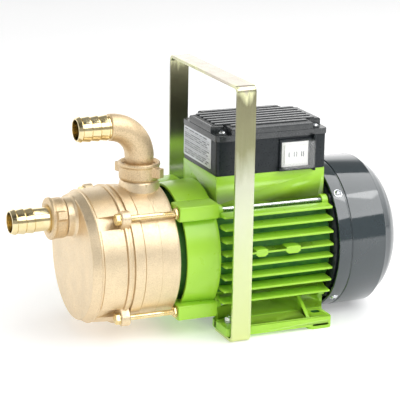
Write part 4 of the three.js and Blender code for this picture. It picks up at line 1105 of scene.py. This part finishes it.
def rating_plate():
    """A silver label on the pump end of the box, with plain lines in place of any words."""
    y, z = span("nameplate", "Y"), span("nameplate", "Z")
    face = BOX.front - 0.65
    plate = prism("rating_label", rectangle(y, z, 1.6), "X", face, BOX.front - SEAT_GAP, 0.12)
    present(plate, FOIL, stands_for=["nameplate"])
    rng = random.Random(LABEL.seed)
    lines = []
    surface = (face - 0.2, face + 0.1)
    pitch = (z[1] - z[0] - 4) / LABEL.rows
    left, right = y[1] - LABEL.margin, y[0] + LABEL.margin
    for row in range(LABEL.rows):
        height = z[1] - LABEL.margin - pitch * row
        if row in LABEL.rules:
            lines.append(block("rule", surface, (right, left), (height - 0.12, height + 0.12), 0))
            continue
        at = left
        while at > right + 6:
            run = rng.uniform(3.5, 13)
            stop = max(at - run, right)
            lines.append(block("dash", surface, (stop, at), (height - 0.6, height + 0.5), 0))
            at = stop - rng.uniform(1.2, 4.5)
    present(gather("label_lines", lines), INK)


def switch():
    s = SWITCH
    face = -BOX.half - s.proud
    back = -BOX.half - SEAT_GAP
    flanges = [block("flange", x, (face, back), (s.low, s.top), 0.6)
               for x in ((s.front, s.front + 2.4), (s.rear - 2.4, s.rear))]
    bars = [block("bar", (s.front + 1, s.rear - 1), (face + 1.2, back), z, 0.5)
            for z in ((s.low + 1.6, s.low + 4.4), (s.top - 3.6, s.top - 0.6))]
    bezel = block("bezel", (s.front + 2, s.rear - 2), (back - 1.8, back), (s.low + 3, s.top - 3), 0.4)
    frame_piece = fuse("switch_guard", flanges[0], flanges[1], *bars, bezel)
    opening = block("opening", around(ROCKER_X, WINDOW.half), (face - 1, back + 1),
                    around(ROCKER_Z, WINDOW.rise), 0)
    carve(frame_piece, opening)
    present(frame_piece, SATIN, stands_for=["switch_frame"])
    x, z = span("splash_cover", "X"), span("splash_cover", "Z")
    y0 = span("splash_cover", "Y")[0]
    shell = block("splash_shell", x, (y0, back), z, 1.6)
    hollow = block("hollow", (x[0] + 1, x[1] - 1), (y0 + 1, back + 3), (z[0] + 1, z[1] - 1), 0.8)
    carve(shell, hollow)
    present(shell, CLEAR, stands_for=["splash_cover"])
    well = block("rocker_well", around(ROCKER_X, WELL.half), (-BOX.half - 2.2, -BOX.half + 6),
                 around(ROCKER_Z, WELL.rise), 0.5)
    carve(well, block("inside", around(ROCKER_X, WELL.inner_half), (-BOX.half - 4, -BOX.half + 5),
                      around(ROCKER_Z, WELL.inner_rise), 0.3))
    present(well, WHITE)


def rocker():
    """The rocker's face is two shallow flats that meet over its vertical pin."""
    half, height = ROCKER.half, ROCKER.rise
    pivot = -BOX.half + ROCKER.pin
    face = pivot - ROCKER.crest
    outline = [
        (ROCKER_X - half, face - ROCKER.slope, 0.6), (ROCKER_X, face, 3),
        (ROCKER_X + half, face - ROCKER.slope, 0.6), (ROCKER_X + half - 1.5, face + 4.5, 0.5),
        (ROCKER_X + 4, pivot + 6, 0.8), (ROCKER_X - 4, pivot + 6, 0.8),
        (ROCKER_X - half + 1.5, face + 4.5, 0.5),
    ]
    button = prism("rocker_button", outline, "Z", ROCKER_Z - height, ROCKER_Z + height, 0.6)
    present(button, WHITE, "switch_rocker", ["rocker"])
    marks = []

    def bar(x, z, width, tall):
        y = face - abs(x - ROCKER_X) / half * ROCKER.slope
        marks.append(block("mark", around(x, width / 2), (y - 0.12, y + 0.6), around(z, tall / 2), 0))

    bar(ROCKER_X - ROCKER.mark, ROCKER_Z, 1.0, 5)
    for shift in (-1, 1):
        bar(ROCKER_X + ROCKER.mark + shift, ROCKER_Z, 0.9, 5)
        bar(ROCKER_X + shift * 1.4, ROCKER_Z, 0.8, 5)
        bar(ROCKER_X, ROCKER_Z + shift * 2.2, 2.4, 0.6)
    present(gather("rocker_marks", marks), INK, "switch_rocker")


def cable_gland():
    x = BOX.rear
    base = hex_solid("base", "X", GLAND, x + 0.3, x + 5, 19)
    dome = lathe("dome", [
        (x - 6, GLAND_BORE), (x - 6, 8, 0.4), (x + 5, 8), (x + 5, 9, 0.4), (x + 9.6, 9, 1.6),
        (x + 12.9, 6.2, 1.2),
        (x + 12.9, GLAND_BORE, 0.4),
    ], at=GLAND, segments=48)
    ribs = []
    count = 12
    for i in range(count):
        rib_z = (GLAND[2] + 8.4, GLAND[2] + 9.5)
        rib = block("rib", (x + 5.2, x + 9.8), (GLAND[1] - 0.5, GLAND[1] + 0.5), rib_z, 0.25)
        ribs.append(turned(rib, 2 * pi * i / count, "X", GLAND))
    gland = fuse("gland_body", dome, base, *ribs)
    carve(gland, rod("bore", "X", GLAND, x - 7, x + 14, GLAND_BORE, 0, 48))
    present(gland, SATIN, stands_for=["cable_gland"])


# ---- build
front_cover()
rear_casing()
inlet_tail()
union_nut("inlet_union_nut", "X", (0, 0, INLET_Z), INLET_NUT.rear, INLET_NUT.front, INLET_NUT.turn,
          TAIL.root + 0.9, "inlet_nut", "suction_nut")
union_nut("outlet_union_nut", "Z", (OUTLET_X, 0, 0), OUTLET_NUT.low, OUTLET_NUT.top, OUTLET_NUT.turn,
          16.2, "outlet_nut", "discharge_nut")
outlet_elbow()
casing_bolts()
motor_bracket()
motor_housing()
tie_rods()
rear_shield()
fan_cover()
handle()
terminal_box()
box_lid()
rating_plate()
switch()
rocker()
cable_gland()

for row in frame["record"]["subparts"]:
    node = frame["nodes"][row["node"]]
    node.data.materials.clear()
    node.data.materials.append(SLOT_FINISH[row["material_slot"]])

# ---- floor, light and camera
FLOOR_HALF = 9.0
FLOOR_Z = -0.0002
LIGHT_AIM = (0.0, 0.0, 0.1)
SENSOR = 36


def floor():
    bm = bmesh.new()
    corners = [(-FLOOR_HALF, -FLOOR_HALF), (FLOOR_HALF, -FLOOR_HALF), (FLOOR_HALF, FLOOR_HALF),
               (-FLOOR_HALF, FLOOR_HALF)]
    bm.faces.new([bm.verts.new((x, y, FLOOR_Z)) for x, y in corners])
    obj = from_bmesh("floor", bm)
    f = Finish("pale_floor", (0.9, 0.9, 0.9), 0.75)
    f.set("Base Color", f.ramp(f.noise(3, 2), (0.3, (0.89, 0.89, 0.89)), (0.7, (0.91, 0.91, 0.91))))
    f.set("Specular IOR Level", 0.2)
    f.set("Emission Color", (1, 1, 1, 1))
    f.set("Emission Strength", 0.3)
    obj.data.materials.append(f.material)


def area_light(name, place, width, height, radiance):
    """A soft box: its power is worked out from the radiance that its face should show."""
    light = bpy.data.lights.new(name, "AREA")
    light.shape = "RECTANGLE"
    light.size, light.size_y = width, height
    light.energy = radiance * pi * width * height
    obj = placed(name, light)
    obj.location = place
    obj.rotation_euler = (Vector(LIGHT_AIM) - Vector(place)).to_track_quat("-Z", "Y").to_euler()


def studio():
    """A bright sweep behind and below, a dark room in front and above, lit by a large soft box."""
    world = bpy.data.worlds.new("studio")
    bpy.context.scene.world = world
    world.use_nodes = True
    nodes, links = world.node_tree.nodes, world.node_tree.links
    place = nodes.new("ShaderNodeTexCoord").outputs["Generated"]
    split = nodes.new("ShaderNodeSeparateXYZ")
    links.new(place, split.inputs["Vector"])

    def ramp(value, low, high, start, end):
        node = nodes.new("ShaderNodeMapRange")
        node.interpolation_type = "SMOOTHSTEP"
        links.new(value, node.inputs["Value"])
        for name, number in (("From Min", start), ("From Max", end), ("To Min", low), ("To Max", high)):
            node.inputs[name].default_value = number
        return node.outputs["Result"]

    def multiply(a, b):
        node = nodes.new("ShaderNodeMath")
        node.operation = "MULTIPLY"
        links.new(a, node.inputs[0])
        links.new(b, node.inputs[1])
        return node.outputs[0]

    behind = ramp(split.outputs["Y"], 0.42, 1.55, -0.45, 0.25)
    overhead = ramp(split.outputs["Z"], 1.0, 0.2, 0.38, 0.62)
    background = nodes["Background"]
    background.inputs["Color"].default_value = (1, 1, 1, 1)
    links.new(multiply(behind, overhead), background.inputs["Strength"])
    area_light("front_softbox", (0.7, -1.8, 1.95), 3.0, 1.6, 3.3)
    area_light("top_softbox", (1.1, -0.2, 2.4), 1.9, 1.5, 2.8)
    area_light("left_softbox", (-2.4, -1.2, 1.5), 1.4, 1.4, 1.1)


CAMERA = Sizes(azimuth=-23.341, elevation=15.817, roll=1.008, lens=156.361,
               place=(-0.667473, -1.552863, 0.603749))


def camera():
    """The camera stands in front of the inlet corner and looks slightly down, with a slight roll."""
    azimuth, elevation, roll = map(radians, (CAMERA.azimuth, CAMERA.elevation, CAMERA.roll))
    back = Vector((sin(azimuth) * cos(elevation), -cos(azimuth) * cos(elevation), sin(elevation)))
    level = Vector((cos(azimuth), sin(azimuth), 0))
    upright = back.cross(level)
    right = level * cos(roll) + upright * sin(roll)
    up = upright * cos(roll) - level * sin(roll)
    data = bpy.data.cameras.new("camera")
    data.lens = CAMERA.lens
    data.sensor_width = SENSOR
    obj = placed("camera", data)
    turn = Matrix((right, up, back)).transposed().to_4x4()
    obj.matrix_world = Matrix.Translation(CAMERA.place) @ turn
    bpy.context.scene.camera = obj


floor()
studio()
camera()
bpy.context.scene.view_settings.view_transform = "Standard"
